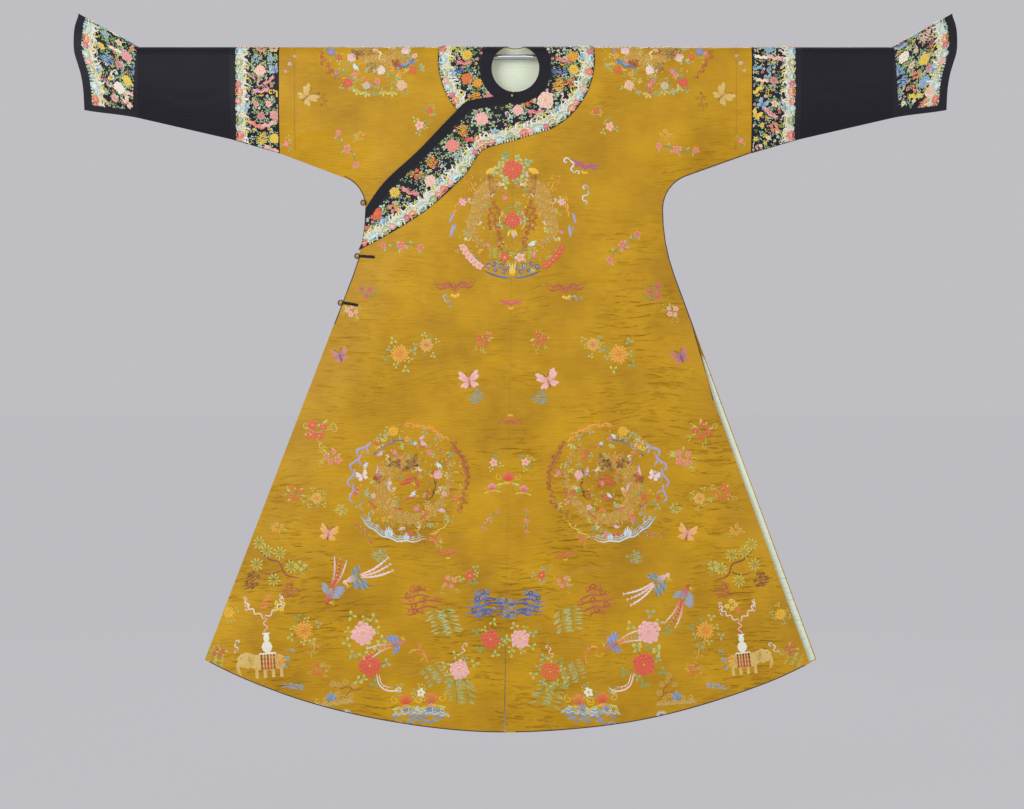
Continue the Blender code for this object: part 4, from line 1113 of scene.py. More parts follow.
def wavy(points, swing, waves):
    """The curve through the points, with even waves across it."""
    path = np.array(bent(points, 12))
    step = np.gradient(path, axis=0)
    step /= np.maximum(np.hypot(step[:, 0], step[:, 1]), 1e-9)[:, None]
    rise = swing * np.sin(np.linspace(0, 1, len(path)) * waves * 2 * math.pi)
    return path + np.stack((-step[:, 1], step[:, 0]), axis=1) * rise[:, None]


def feathers(pen, foot, step, reach, count, tones, wide=3.2, lift=1):
    """A wing: feathers side by side, each a step further along, in two tones by turns."""
    for k in range(count):
        u, v = foot[0] + step[0] * k, foot[1] + step[1] * k
        grow = 1 - 0.08 * abs(k - count / 2)
        leaf(pen, (u, v), (u + reach[0] * grow, v + reach[1] * grow), wide, tones[k % 2], tones[(k + 1) % 2],
             lift=lift)


def bird(pen, rng, tones=("green", "pale_pink")):
    """A bird in flight: two wings of striped feathers, a barred plume, and fine threads from its crest."""
    leaf(pen, (-15, 0), (11, 0), 11, tones[1], tones[0], lift=2)
    feathers(pen, (-7, 3), (3.6, 0.2), (8, 21), 6, (tones[0], "haze"), 3.8)
    feathers(pen, (-3, -3), (3.4, -0.2), (7, -15), 4, ("haze", tones[0]), 3.4)
    for k in range(3):
        plume = [(9 + 13 * n, (k - 1) * (2.0 + 2.2 * n) + 3.0 * math.sin(0.9 * n)) for n in range(5)]
        line(pen, bent(plume), 3.0, tones[1], tones[1] if k == 1 else "white", lift=1)
        for n in range(6):
            u, v = bent(plume)[5 + 2 * n]
            leaf(pen, (u - 1, v - 3), (u + 2, v + 3), 1.5, "white", tones[1], lift=2)
    for k in range(3):
        c, s = math.cos(0.7 + 0.5 * k), math.sin(0.7 + 0.5 * k)
        line(pen, bent([(-15, 3), (-15 + 5 * c, 5 + 5 * s), (-15 + 11 * c, 3 + 11 * s)]), 1.2, "lemon",
             "yellow", lift=3)
    dot(pen, (-16, 1), 3.6, tones[1], lift=3)
    dot(pen, (-17, 1.6), 0.9, "ink", lift=4)


def rocks(pen, rng, tones=("blue", "grey")):
    """Rocks in short stepped bands of blue and grey."""
    for row in range(4):
        v = 9 - row * 5
        for k in range(3 + row % 2):
            u = -30 + k * 19 + rng.uniform(-4, 4) + row * 2
            line(pen, bent([(u - 9, v), (u - 3, v + 2.2), (u + 4, v - 0.8), (u + 10, v + 0.6)]), 3.6,
                 tones[row % 2],
                 tones[(row + 1) % 2])
    for u in (-24, -8, 10, 26):
        curl(pen, (u, 12), 3.4, 1.1, "pale_tan", 1.1, rng.uniform(0, 360))


def streamer(pen, rng, tones=("white", "blue")):
    curl(pen, (-4, 6), 5, 2.6, tones[0], 1.0, 0, 1, tones[1])
    line(pen, bent([(1, 6), (5, 0), (0, -6), (5, -12)]), 3.0, tones[0], tones[1])
    curl(pen, (8, -12), 3.6, 2.2, tones[1], 0.9, 180, -1, tones[0])


def crescent(pen, rng, tones=("pale_pink", "white")):
    line(pen, bent([(12, 16), (10, 2), (2, -6), (-10, -8), (-16, -4)]), 2.6, tones[0], tones[1])
    line(pen, bent([(9, 15), (7, 3), (0, -2), (-8, -3)]), 1.4, tones[1], tones[0])
    curl(pen, (2, -4), 4, 1.4, tones[0], 1.1)


def elephant(pen, rng, tones=("orange", "white")):
    """Peace comes as an elephant with a vase, and ribbons that curl out of the vase. It faces outwards."""
    pen = pen.at(0, 0, hand=-1)
    for low, wide in ((-16, 15), (-11, 18), (-7, 13)):
        leaf(pen, (-26, low), (21, low), wide, "pale_tan", "tan")
    for high in (-11, -7):
        leaf(pen, (-37, high), (-13, high), 15, "pale_tan", "tan", lift=1)
    for k in range(4):
        u = -15 + 9 * k
        line(pen, [(u, -15), (u, -22), (u, -29)], 5.2, "tan", "pale_tan", taper=False)
    trunk = [(-33 - 2.4 * math.sin(0.9 * k), -9 - 4.2 * k) for k in range(5)]
    line(pen, bent(trunk), 4.0, "pale_tan", "tan", lift=1)
    leaf(pen, (-23, -3), (-20, -15), 8, "deep_tan", "tan", lift=2)
    dot(pen, (-31, -6), 0.9, "ink", lift=3)
    line(pen, bent([(17, -10), (21, -15), (20, -22)]), 1.4, "tan", "brown")
    for _ in range(12):
        place = (rng.uniform(6, 16), rng.uniform(-20, -5))
        curl(pen, place, 2.8, 1.2, rng.choice(("orange", "yellow")), 1.1, rng.uniform(0, 360), lift=1)
    for k in range(-2, 3):
        pair = ("brown", "red") if k % 2 else ("dark", "brown")
        line(pen, [(3.4 * k - 2, -3), (3.4 * k - 2, -11), (3.4 * k - 2, -20)], 3.4, *pair, taper=False,
             lift=2)
    line(pen, [(-11, -3), (-2, -3), (7, -3)], 2.2, "cream", taper=False, lift=3)
    leaf(pen, (-2, -3), (-2, 12), 12, "white", "cream", lift=3)
    leaf(pen, (-2, 8), (-2, 20), 7, "cream", "white", lift=4)
    line(pen, [(-6, 19), (-2, 19), (2, 19)], 1.8, "white", taper=False, lift=5)
    line(pen, wavy([(-2, 20), (-2, 28), (-2, 36)], 2.0, 2), 1.5, "pink", "pale_pink", lift=1)
    for side in (-1, 1):
        path = [(-2 + side * 20 * math.sin(0.55 * k), 36 + 9 * k - 4 * math.sin(0.55 * k)) for k in range(4)]
        line(pen, wavy(path, 1.7, 4), 1.5, "pale_pink", "white", lift=1)
        for k in range(4):
            curl(pen, (path[3][0], path[3][1] - 4 * k), 2.4, 1.1, "pale_pink", 0.9, rng.uniform(0, 360),
                 side, "white",
                 lift=1)
    for k in range(4):
        leaf(pen, (-9 + 2 * k, 46 + 4 * k), (3 + 2 * k, 48 + 4 * k), 4.0, "coral" if k < 2 else "orange",
             "orange")


def lotus(pen, rng, tones=("red", "coral")):
    for angle in (-50, -20, 20, 50, 0):
        a = math.radians(90 + angle)
        leaf(pen, (0, -4), (12 * math.cos(a), -4 + 15 * math.sin(a)), 7.5, tones[0], tones[1], lift=1)
    for side in (-1, 1):
        curl(pen, (side * 14, 2), 6, 1.7, "yellow", 1.2, 90, -side)
        leaf(pen, (0, -6), (side * 20, -11), 5.5, "leaf", "lemon")
    leaf(pen, (-8, -7), (8, -7), 5, "yellow", "orange", lift=2)


def surf(pen, rng, tones=("aqua", "white")):
    """Low water at the foot of a panel: scale-shaped ripples, crests and a small rock."""
    for u in range(-24, 25, 12):
        for k, tone in enumerate((tones[0], tones[1], "mint")):
            ring(pen, (u, -8), 7 - 2 * k, 1.4, tone, 10, 170, steps=8)
    for u in (-18, -4, 10, 22):
        curl(pen, (u, 3), 4.4, 1.5, tones[1], 1.2, 200, 1, tones[0], lift=1)
    for u, v in ((-4, 10), (1, 15), (6, 10)):
        leaf(pen, (u, -2), (u, v), 6, "blue", "grey", lift=1)


# %% Dragons
def on_rim(reach, *degrees):
    """Places at one reach from the middle."""
    return [(reach * math.cos(math.radians(a)), reach * math.sin(math.radians(a))) for a in degrees]


def spiral(first, last, start, stop, count, swing=0.0):
    """Places along a spiral round the middle, with waves across it where there is a swing."""
    share = np.linspace(0.0, 1.0, count)
    reach = first + (last - first) * share + swing * np.sin(np.arange(count) * 1.3)
    turn = np.radians(start + (stop - start) * share)
    return list(zip(reach * np.cos(turn), reach * np.sin(turn)))


SCALE_ROW = 5.5
SCALE_WIDE = 7.0


def dragon(pen, rng, spine, width, lead):
    """A scaled body along a spine, from the head to the tail, with flames, legs and claws."""
    body = np.array(bent(spine, 7))
    step = np.gradient(body, axis=0)
    step /= np.maximum(np.hypot(step[:, 0], step[:, 1]), 1e-9)[:, None]
    across = np.stack((-step[:, 1], step[:, 0]), axis=1)
    share = np.linspace(0, 1, len(body))
    wide = width * np.clip(np.minimum(0.62 + share * 1.2, (1.04 - share) * 1.55), 0.10, 1.0)
    for n in range(1, len(body) - 1):
        for side in (-1, 1):
            edge = body[n] + across[n] * side * wide[n] / 2
            dot(pen, tuple(edge), 1.35, "pale_tan" if n % 2 else "tan", lift=3)
        if n % 2:
            fin = body[n] - across[n] * lead * wide[n] / 2
            leaf(pen, fin, fin - across[n] * lead * 6.0 + step[n] * 4.0, 3.4,
                 "brown" if n % 4 == 1 else "orange",
                 "tan")
    line_rows = np.concatenate([body - across * wide[:, None] / 2, body, body + across * wide[:, None] / 2])
    count = len(body)
    heights = np.concatenate([np.full(count, EDGE_SUNK), np.full(count, CREST * 1.1),
                              np.full(count, EDGE_SUNK)])
    tones = np.tile(SILK["body"], (3 * count, 1))
    faces = []
    for n in range(count - 1):
        faces += [(n, n + count, n + 1 + count, n + 1),
                  (n + count, n + 2 * count, n + 1 + 2 * count, n + 1 + count)]
    pen.put(line_rows, heights, tones, faces, 1)
    for offset in (-0.34, -0.12, 0.12, 0.34):
        contour = body[2:-2] + across[2:-2] * (offset * wide[2:-2])[:, None]
        line(pen, contour, 1.3, "pale_tan", "tan", lift=2)
    travelled = 0.0
    for n in range(1, count - 1):
        travelled += float(np.hypot(*(body[n] - body[n - 1])))
        if travelled < SCALE_ROW:
            continue
        travelled = 0.0
        lanes = max(2, int(wide[n] / SCALE_WIDE))
        for k in range(lanes):
            middle = body[n] + across[n] * ((k + 0.5) / lanes - 0.5) * wide[n]
            half = across[n] * wide[n] / lanes * 0.46
            tone = ("pale_tan", "tan", "deep_tan")[(k + n) % 3]
            line(pen, bent([middle - half, middle + step[n] * 3.2, middle + half], 3), 1.3, tone,
                 taper=False, lift=3)
    leg_roots = [int(count * s) for s in (0.20, 0.38, 0.62, 0.80)]
    for k, n in enumerate(leg_roots):
        side = 1 if k % 2 else -1
        root = body[n] + across[n] * side * wide[n] * 0.4
        knee = root + across[n] * side * 7 + step[n] * 4
        foot = knee + across[n] * side * 4 - step[n] * 6
        line(pen, bent([tuple(root), tuple(knee), tuple(foot)]), 4.0, "tan", "pale_tan", lift=2)
        for claw in range(5):
            angle = math.radians(claw * 52 - 60)
            leaf(pen, tuple(foot), (foot[0] + 5 * math.cos(angle), foot[1] + 5 * math.sin(angle)), 1.6,
                 "cream", "white",
                 lift=3)
    head = body[0]
    facing = -step[0]
    head_pen = pen.at(head[0], head[1], math.degrees(math.atan2(facing[1], facing[0])), lift=3)
    leaf(head_pen, (-7, 0), (9, 0), 11, "tan", "pale_tan", lift=1)
    leaf(head_pen, (1, 0), (12, 2), 6, "pale_tan", "cream", lift=2)
    leaf(head_pen, (1, -3), (10, -5), 3.4, "red", "coral", lift=2)
    for side in (-1, 1):
        line(head_pen, bent([(-2, side * 3), (-9, side * 8), (-15, side * 7)]), 1.6, "brown", "tan", lift=2)
        line(head_pen, bent([(8, side * 2), (14, side * 7), (18, side * 4)]), 0.9, "cream", lift=2)
        dot(head_pen, (2, side * 2.8), 1.3, "white", lift=4)
        for k in range(6):
            line(head_pen, bent([(-6, side * (1 + k)), (-12, side * (4 + 2.6 * k)),
                                 (-19, side * (1 + 4.2 * k))]), 1.3,
                 "tan", "brown", lift=1)
            curl(head_pen, (-20, side * (1 + 4.2 * k)), 2.8, 1.1, "deep_tan", 1.1, rng.uniform(0, 360), side,
                 "brown",
                 lift=1)


def small_wave(pen, rng):
    for k, tone in enumerate(("aqua", "white", "blue")):
        ring(pen, (0, 0), 6.4 - 1.9 * k, 1.3, tone, 0, 180, steps=7)
    curl(pen, (4, -5), 3.4, 1.3, "white", 1.1, 0, 1, "aqua", lift=1)


def small_crest(pen, rng):
    curl(pen, (rng.uniform(-3, 3), 0), rng.uniform(3.4, 5.6), 1.5, "white", 1.2, rng.uniform(0, 360), 1,
         "aqua", lift=2)


def small_flame(pen, rng):
    out = rng.uniform(-2.5, 2.5)
    line(pen, bent([(-7, out), (-2, 3 + out), (1, -1), (7, rng.uniform(0, 4))]), 2.2, "brown", "flame")
    curl(pen, (4, 1 + out), rng.uniform(2.6, 4.0), 1.2, "brown", 1.0, rng.uniform(0, 360), end="flame")
    curl(pen, (-4, 4), rng.uniform(2.0, 3.2), 1.1, "flame", 1.0, rng.uniform(0, 360), end="dark")


def small_flower(pen, rng):
    tones = rng.choice((("coral", "pink"), ("pink", "pale_pink"), ("red", "coral"), ("orange", "yellow"),
                        ("rose", "pink")))
    blossom(pen, rng, tones, rng.uniform(4.6, 6.0), 1)


def small_cloud(pen, rng):
    leaf(pen, (-9, -1), (9, rng.uniform(-4, 6)), 4.2, "grey", "lilac")
    curl(pen, (-3, 1), rng.uniform(3, 5), 1.5, "lilac", 1.1, 180, -1, "grey")


def small_scroll(pen, rng):
    curl(pen, (-2, rng.uniform(-2, 2)), rng.uniform(3, 5), 1.5, "orange", 1.2, rng.uniform(0, 360), 1,
         "yellow")
    line(pen, bent([(-7, -3), (0, 2), (8, rng.uniform(-2, 3))]), 2.4, "orange", "yellow")


GROUND_TONES = ("tan", "pale_tan", "leaf", "lemon", "orange", "gold", "brown")


def ground_scrolls(pen, rng, radius, count):
    """Low small curls and leaves, near the ground's own tone, that fill a roundel behind the dragons."""
    for _ in range(count):
        angle, reach = rng.uniform(0, 2 * math.pi), radius * math.sqrt(rng.random())
        u, v = reach * math.cos(angle), reach * math.sin(angle)
        tone = rng.choice(GROUND_TONES)
        if rng.random() < 0.6:
            curl(pen, (u, v), rng.uniform(3.0, 5.0), 1.2, tone, 1.2, rng.uniform(0, 360),
                 rng.choice((-1, 1)), "pale_tan")
        else:
            turn = rng.uniform(0, 2 * math.pi)
            leaf(pen, (u, v), (u + 8 * math.cos(turn), v + 8 * math.sin(turn)), 3.0, tone, "lemon")


def mane(pen, place, width, height, tones, rng):
    """A patch of tight dark curls."""
    for _ in range(int(width * height / 14)):
        u, v = place[0] + rng.uniform(-0.5, 0.5) * width, place[1] + rng.uniform(-0.5, 0.5) * height
        curl(pen, (u, v), rng.uniform(2.6, 4.0), 1.2, tones[0], 1.1, rng.uniform(0, 360),
             rng.choice((-1, 1)), tones[1],
             lift=4)


def small_leaves(pen, rng):
    tone = rng.choice(pen.panel.greens)
    for angle in (40, 90, 140):
        c, s = math.cos(math.radians(angle)), math.sin(math.radians(angle))
        leaf(pen, (0, -4), (8 * c, -4 + 9 * s), 3.6, *tone)


def small_charm(pen, rng):
    tones = rng.choice((("lilac", "pale_pink"), ("purple", "lilac"), ("aqua", "white"), ("rose", "pink"),
                        ("coral", "red"),
                        ("yellow", "orange"), ("orange", "coral")))
    leaf(pen, (-6, -1), (5, 2), 5.5, *tones)
    leaf(pen, (-2, 3), (7, 6), 3.4, tones[1], tones[0])


GOLDEN_ANGLE = 2.39996
SPRINKLED = (small_charm, small_leaves, small_charm, small_leaves)


def sprinkle(pen, rng, radius, count):
    """Small bright leaves, charms and petals between a roundel's larger drawings, on rings of even places."""
    for k in range(count):
        reach = radius * math.sqrt((k + 0.5) / count)
        angle = k * GOLDEN_ANGLE + rng.uniform(-0.3, 0.3)
        draw = SPRINKLED[k % 4]
        draw(pen.at(reach * math.cos(angle), reach * math.sin(angle), rng.uniform(0, 360),
                    rng.uniform(0.9, 1.5), lift=1),
             rng)


def rim_of(pen, rng, radius, start, stop, draw, count, size):
    """Small drawings set round a roundel's edge."""
    for k in range(count):
        angle = math.radians(start + (stop - start) * (k + 0.5) / count)
        reach, turn = radius + rng.uniform(-3, 3), math.degrees(angle) - 90 + rng.uniform(-24, 24)
        draw(pen.at(reach * math.cos(angle), reach * math.sin(angle), turn, size * rng.uniform(0.8, 1.15),
                    lift=1), rng)


def facing_roundel(pen, rng):
    """The chest's roundel: two dragons face each other across a red flower, above the sea."""
    ground_scrolls(pen, rng, 122, 170)
    sprinkle(pen, rng, 118, 34)
    for side in (-1, 1):
        half = pen.at(0, 0, hand=side, lift=1)
        dragon(half, rng, spiral(80, 84, 70, -44, 9, 7), 30, 1)
        scrolls(half.at(*on_rim(114, 40)[0], -32, 1.1, lift=2), rng, ("yellow", "orange"))
        rim_of(half, rng, 118, 4, 26, small_scroll, 3, 1.3)
        for k in range(7):
            small_flame(half.at(32 + 5 * math.sin(0.9 * k), 16 - 12 * k, 90, 1.3, lift=2), rng)
        for k in range(4):
            small_flame(half.at(*on_rim(50, 40 - 18 * k)[0], 90, 1.3, lift=2), rng)
        leaf(half, *on_rim(113, 73, 60), 13, "yellow", "yellow", lift=1)
        tones = ("red", "coral") if side > 0 else ("pink", "pale_pink")
        for k in range(6):
            blossom(half.at(*on_rim(118, -54 + 5 * k)[0], lift=2), rng, tones, rng.uniform(7, 10), k % 2)
        bamboo(half.at(34, -70, 10, 0.8), rng, ("lemon", "leaf"))
        line(half, bent(on_rim(121, 272, 281, 290, 299)), 3.4, "blue", "navy", lift=2)
        for k in range(6):
            u, v = on_rim(99 + 10 * (k % 2), 275 + 4.5 * k)[0]
            curl(half, (u, v), 5 + k % 3, 2.0, "navy", 1.3, rng.uniform(0, 360), side, "blue", lift=2)
            leaf(half, (u, v - 6), (u + 5, v + 4), 3.4, "blue", "lilac", lift=2)
        petals(half, on_rim(110, 20)[0], 0, 9, 6, 5, "pink", "pale_pink", lift=3)
        rim_of(half, rng, 124, -16, 8, small_cloud, 2, 1.6)
        for k in range(4):
            u, v = on_rim(27, -55 + 38 * k)[0]
            trefoil(half, (u, v + 106), 9, rng, ("leaf", "pale_green"))
        tones = ("coral", "red") if side < 0 else ("pink", "pale_pink")
        blossom(half.at(16, -78, lift=2), rng, tones, 11)
    for start in (135, -45):
        ring(pen, (0, 0), 27, 2.6, "pale_tan", start, start + 90, lift=3)
    ring(pen, (0, 0), 27, 2.6, "sage", 45, 135, lift=3)
    peony(pen.at(0, 106, lift=3), rng, ("red", "coral"), 21, 5)
    peony(pen.at(0, 0, lift=3), rng, ("red", "coral"), 17, 2)
    for k in (-1, 0, 1):
        leaf(pen, (4 * k, -18), (10 * k, -34), 5, "yellow", "lemon", lift=3)
        leaf(pen, (3 * k, -118), (6 * k, -88), 5, "yellow", "lemon", lift=2)


def rock(pen, place, reach):
    """A spiky rock, like a small fir."""
    for k in range(-4, 5):
        angle, share = math.radians(90 - 15 * k), 1 - 0.15 * abs(k)
        tip = (place[0] + reach * share * math.cos(angle), place[1] + reach * share * math.sin(angle))
        leaf(pen, place, tip, reach * 0.15, "haze" if k % 2 else "aqua", "white", lift=4)


def curly_thread(pen, path, width, tone, end, rng):
    """A wavy thread with a curl at each of its points."""
    line(pen, wavy(path, 1.4, 3), width, tone, end, lift=4)
    for u, v in path[1:]:
        curl(pen, (u, v + 2), 3.6, 1.3, tone, 1.1, rng.uniform(0, 360), rng.choice((-1, 1)), end, lift=4)


FLAME_TONES = (("red", "flame"), ("flame", "orange"), ("rose", "coral"), ("orange", "flame"),
               ("lilac", "pale_pink"))


def coiled_roundel(pen, rng):
    """A roundel with one dragon, coiled round a flame, with ribbons at its side and the sea below.

    It is drawn with the ribbons on the left, and worn with them on the outer side.
    """
    pen = pen.at(0, 0, hand=-1)
    ground_scrolls(pen, rng, 122, 220)
    sprinkle(pen, rng, 112, 40)
    dragon(pen, rng, spiral(36, 98, 60, 420, 12, 4), 32, 1)
    for place, tones in zip(spiral(40, 62, 80, 170, 3),
                            (("dark", "dark"), ("dark", "brown"), ("brown", "flame"))):
        mane(pen, place, 24, 18, tones, rng)
    for k in range(4):
        start = 132 + 16 * k
        path = on_rim(116, start, start + 7) + on_rim(127, start + 15) + on_rim(118, start + 21)
        line(pen, bent(path), 5.4 - 0.6 * k, "lilac", "haze", lift=2)
        line(pen, bent(path), 1.8, "haze", "grey", lift=3)
        leaf(pen, path[1], on_rim(102, start + 12)[0], 4, "haze", "lilac", lift=2)
    for k, (u, v) in enumerate(spiral(22, 96, 0, 1787, 14)):
        tongue = pen.at(u, v, math.degrees(math.atan2(v, u)) + 90, lift=3)
        tones = FLAME_TONES[k % 5]
        leaf(tongue, (-11, -2), (11, 3), rng.uniform(4, 6), *tones, lift=1, bow=3)
        curl(tongue, (9, 6), 3.8, 1.4, tones[0], 1.1, rng.uniform(0, 360), end=tones[1], lift=1)
    for side in (-1, 1):
        leaf(pen, (side * 3 - 14, side * 4), (side * 3 + 14, side * 4 + 9), 8, "red", "flame", lift=4, bow=2)
    curly_thread(pen, on_rim(92, 95, 110, 125, 140), 2.0, "navy", "lilac", rng)
    curly_thread(pen, on_rim(56, -44, -22, 0, 22), 1.8, "dark", "brown", rng)
    curly_thread(pen, on_rim(118, 292, 302, 312, 322), 2.0, "lemon", "yellow", rng)
    curly_thread(pen, on_rim(124, 40, 26, 12, -2), 2.6, "brown", "flame", rng)
    rim_of(pen, rng, 121, -4, 42, small_flame, 9, 1.5)
    rim_of(pen, rng, 118, -30, -4, small_flame, 4, 1.4)
    rim_of(pen, rng, 121, 48, 92, small_scroll, 8, 1.4)
    chrysanthemum(pen.at(*on_rim(113, 106)[0], lift=2), rng, ("yellow", "yellow"), 12, 1)
    peony(pen.at(*on_rim(64, 16)[0], lift=3), rng, ("pink", "pale_pink"), 10, 1)
    curl(pen, on_rim(72, 40)[0], 13, 3.4, "orange", 0.8, 150, -1, "sage", lift=2)
    for reach, wide, tone, end in ((122, 3.4, "aqua", "white"), (117, 2.0, "haze", "white"),
                                   (112, 1.6, "aqua", "haze")):
        waves = [(u, v + 2 * math.sin(k * 1.9)) for k,
                 (u, v) in enumerate(on_rim(reach, *range(214, 290, 5)))]
        line(pen, waves, wide, tone, end, lift=2)
    rim_of(pen, rng, 113, 218, 284, small_crest, 10, 1.0)
    rock(pen, on_rim(119, 250)[0], 24)
    rock(pen, on_rim(119, 268)[0], 17)
    for k in range(10):
        small_flower(pen.at(*on_rim(64 + 14 * (k % 4), 20 + 36 * k)[0], size=1.2, lift=3), rng)
    butterfly(pen.at(*on_rim(96, 172)[0], 20, 0.8, lift=3), rng, ("pale_pink", "cream"))
    dot(pen, on_rim(84, 80)[0], 4.5, "aqua", lift=3)
    for angle in (58, 72, 114, 122, 206):
        trefoil(pen, on_rim(114, angle)[0], 9, rng, ("sage", "pale_sage"))


SHOULDER_TONES = (("lilac", "blue"), ("pink", "cream"), ("red", "coral"), ("lilac", "lemon"),
                  ("pale_pink", "cream"),
                  ("orange", "cream"), ("red", "orange"), ("pink", "white"))


def shoulder_roundel(pen, rng):
    """Half of a shoulder's roundel, drawn below the fold: flowers, a bat and a streamer, with dark curls."""
    for k, tones in enumerate((("dark", "tan"), ("tan", "dark"), ("brown", "flame"))):
        mane(pen, on_rim(50 + 8 * k, 215 + 48 * k)[0], 30 - 5 * k, 18, tones, rng)
    for k, tones in enumerate(SHOULDER_TONES):
        peony(pen.at(*on_rim((98, 64, 108)[k % 3], 194 + 21 * k)[0], lift=3), rng, tones, 9 + k % 3, 2)
    bat(pen.at(*on_rim(82, 318)[0], 20, 0.9, lift=2), rng, ("grey", "navy"))
    streamer(pen.at(*on_rim(30, 275)[0], 10, 1.3, lift=2), rng, ("cream", "lemon"))
    rim_of(pen, rng, 116, 190, 222, small_flame, 4, 1.6)
    rim_of(pen, rng, 114, 236, 300, small_leaves, 7, 1.5)
    for k in range(5):
        small_flower(pen.at(*on_rim(86, 205 + 33 * k)[0], size=1.3, lift=2), rng)


# %% [markdown]
# Where each drawing goes. The robe is laid out in pairs about its middle seam, so each row gives a
# distance from that seam and a height, both in millimetres, and is stitched on both halves, the
# second time with its own small differences. The back repeats the layout. Eight roundels hold the
# dragons: chest, back, both shoulders, and two on each skirt.

def edging(panel, path, width, tone):
    """A cord or piping along a path of flat points."""
    pen = Pen(panel, (0.0, 0.0))
    line(pen, [(x * 1000, -t * 1000) for x, t in path], width, tone, taper=False, lift=1)


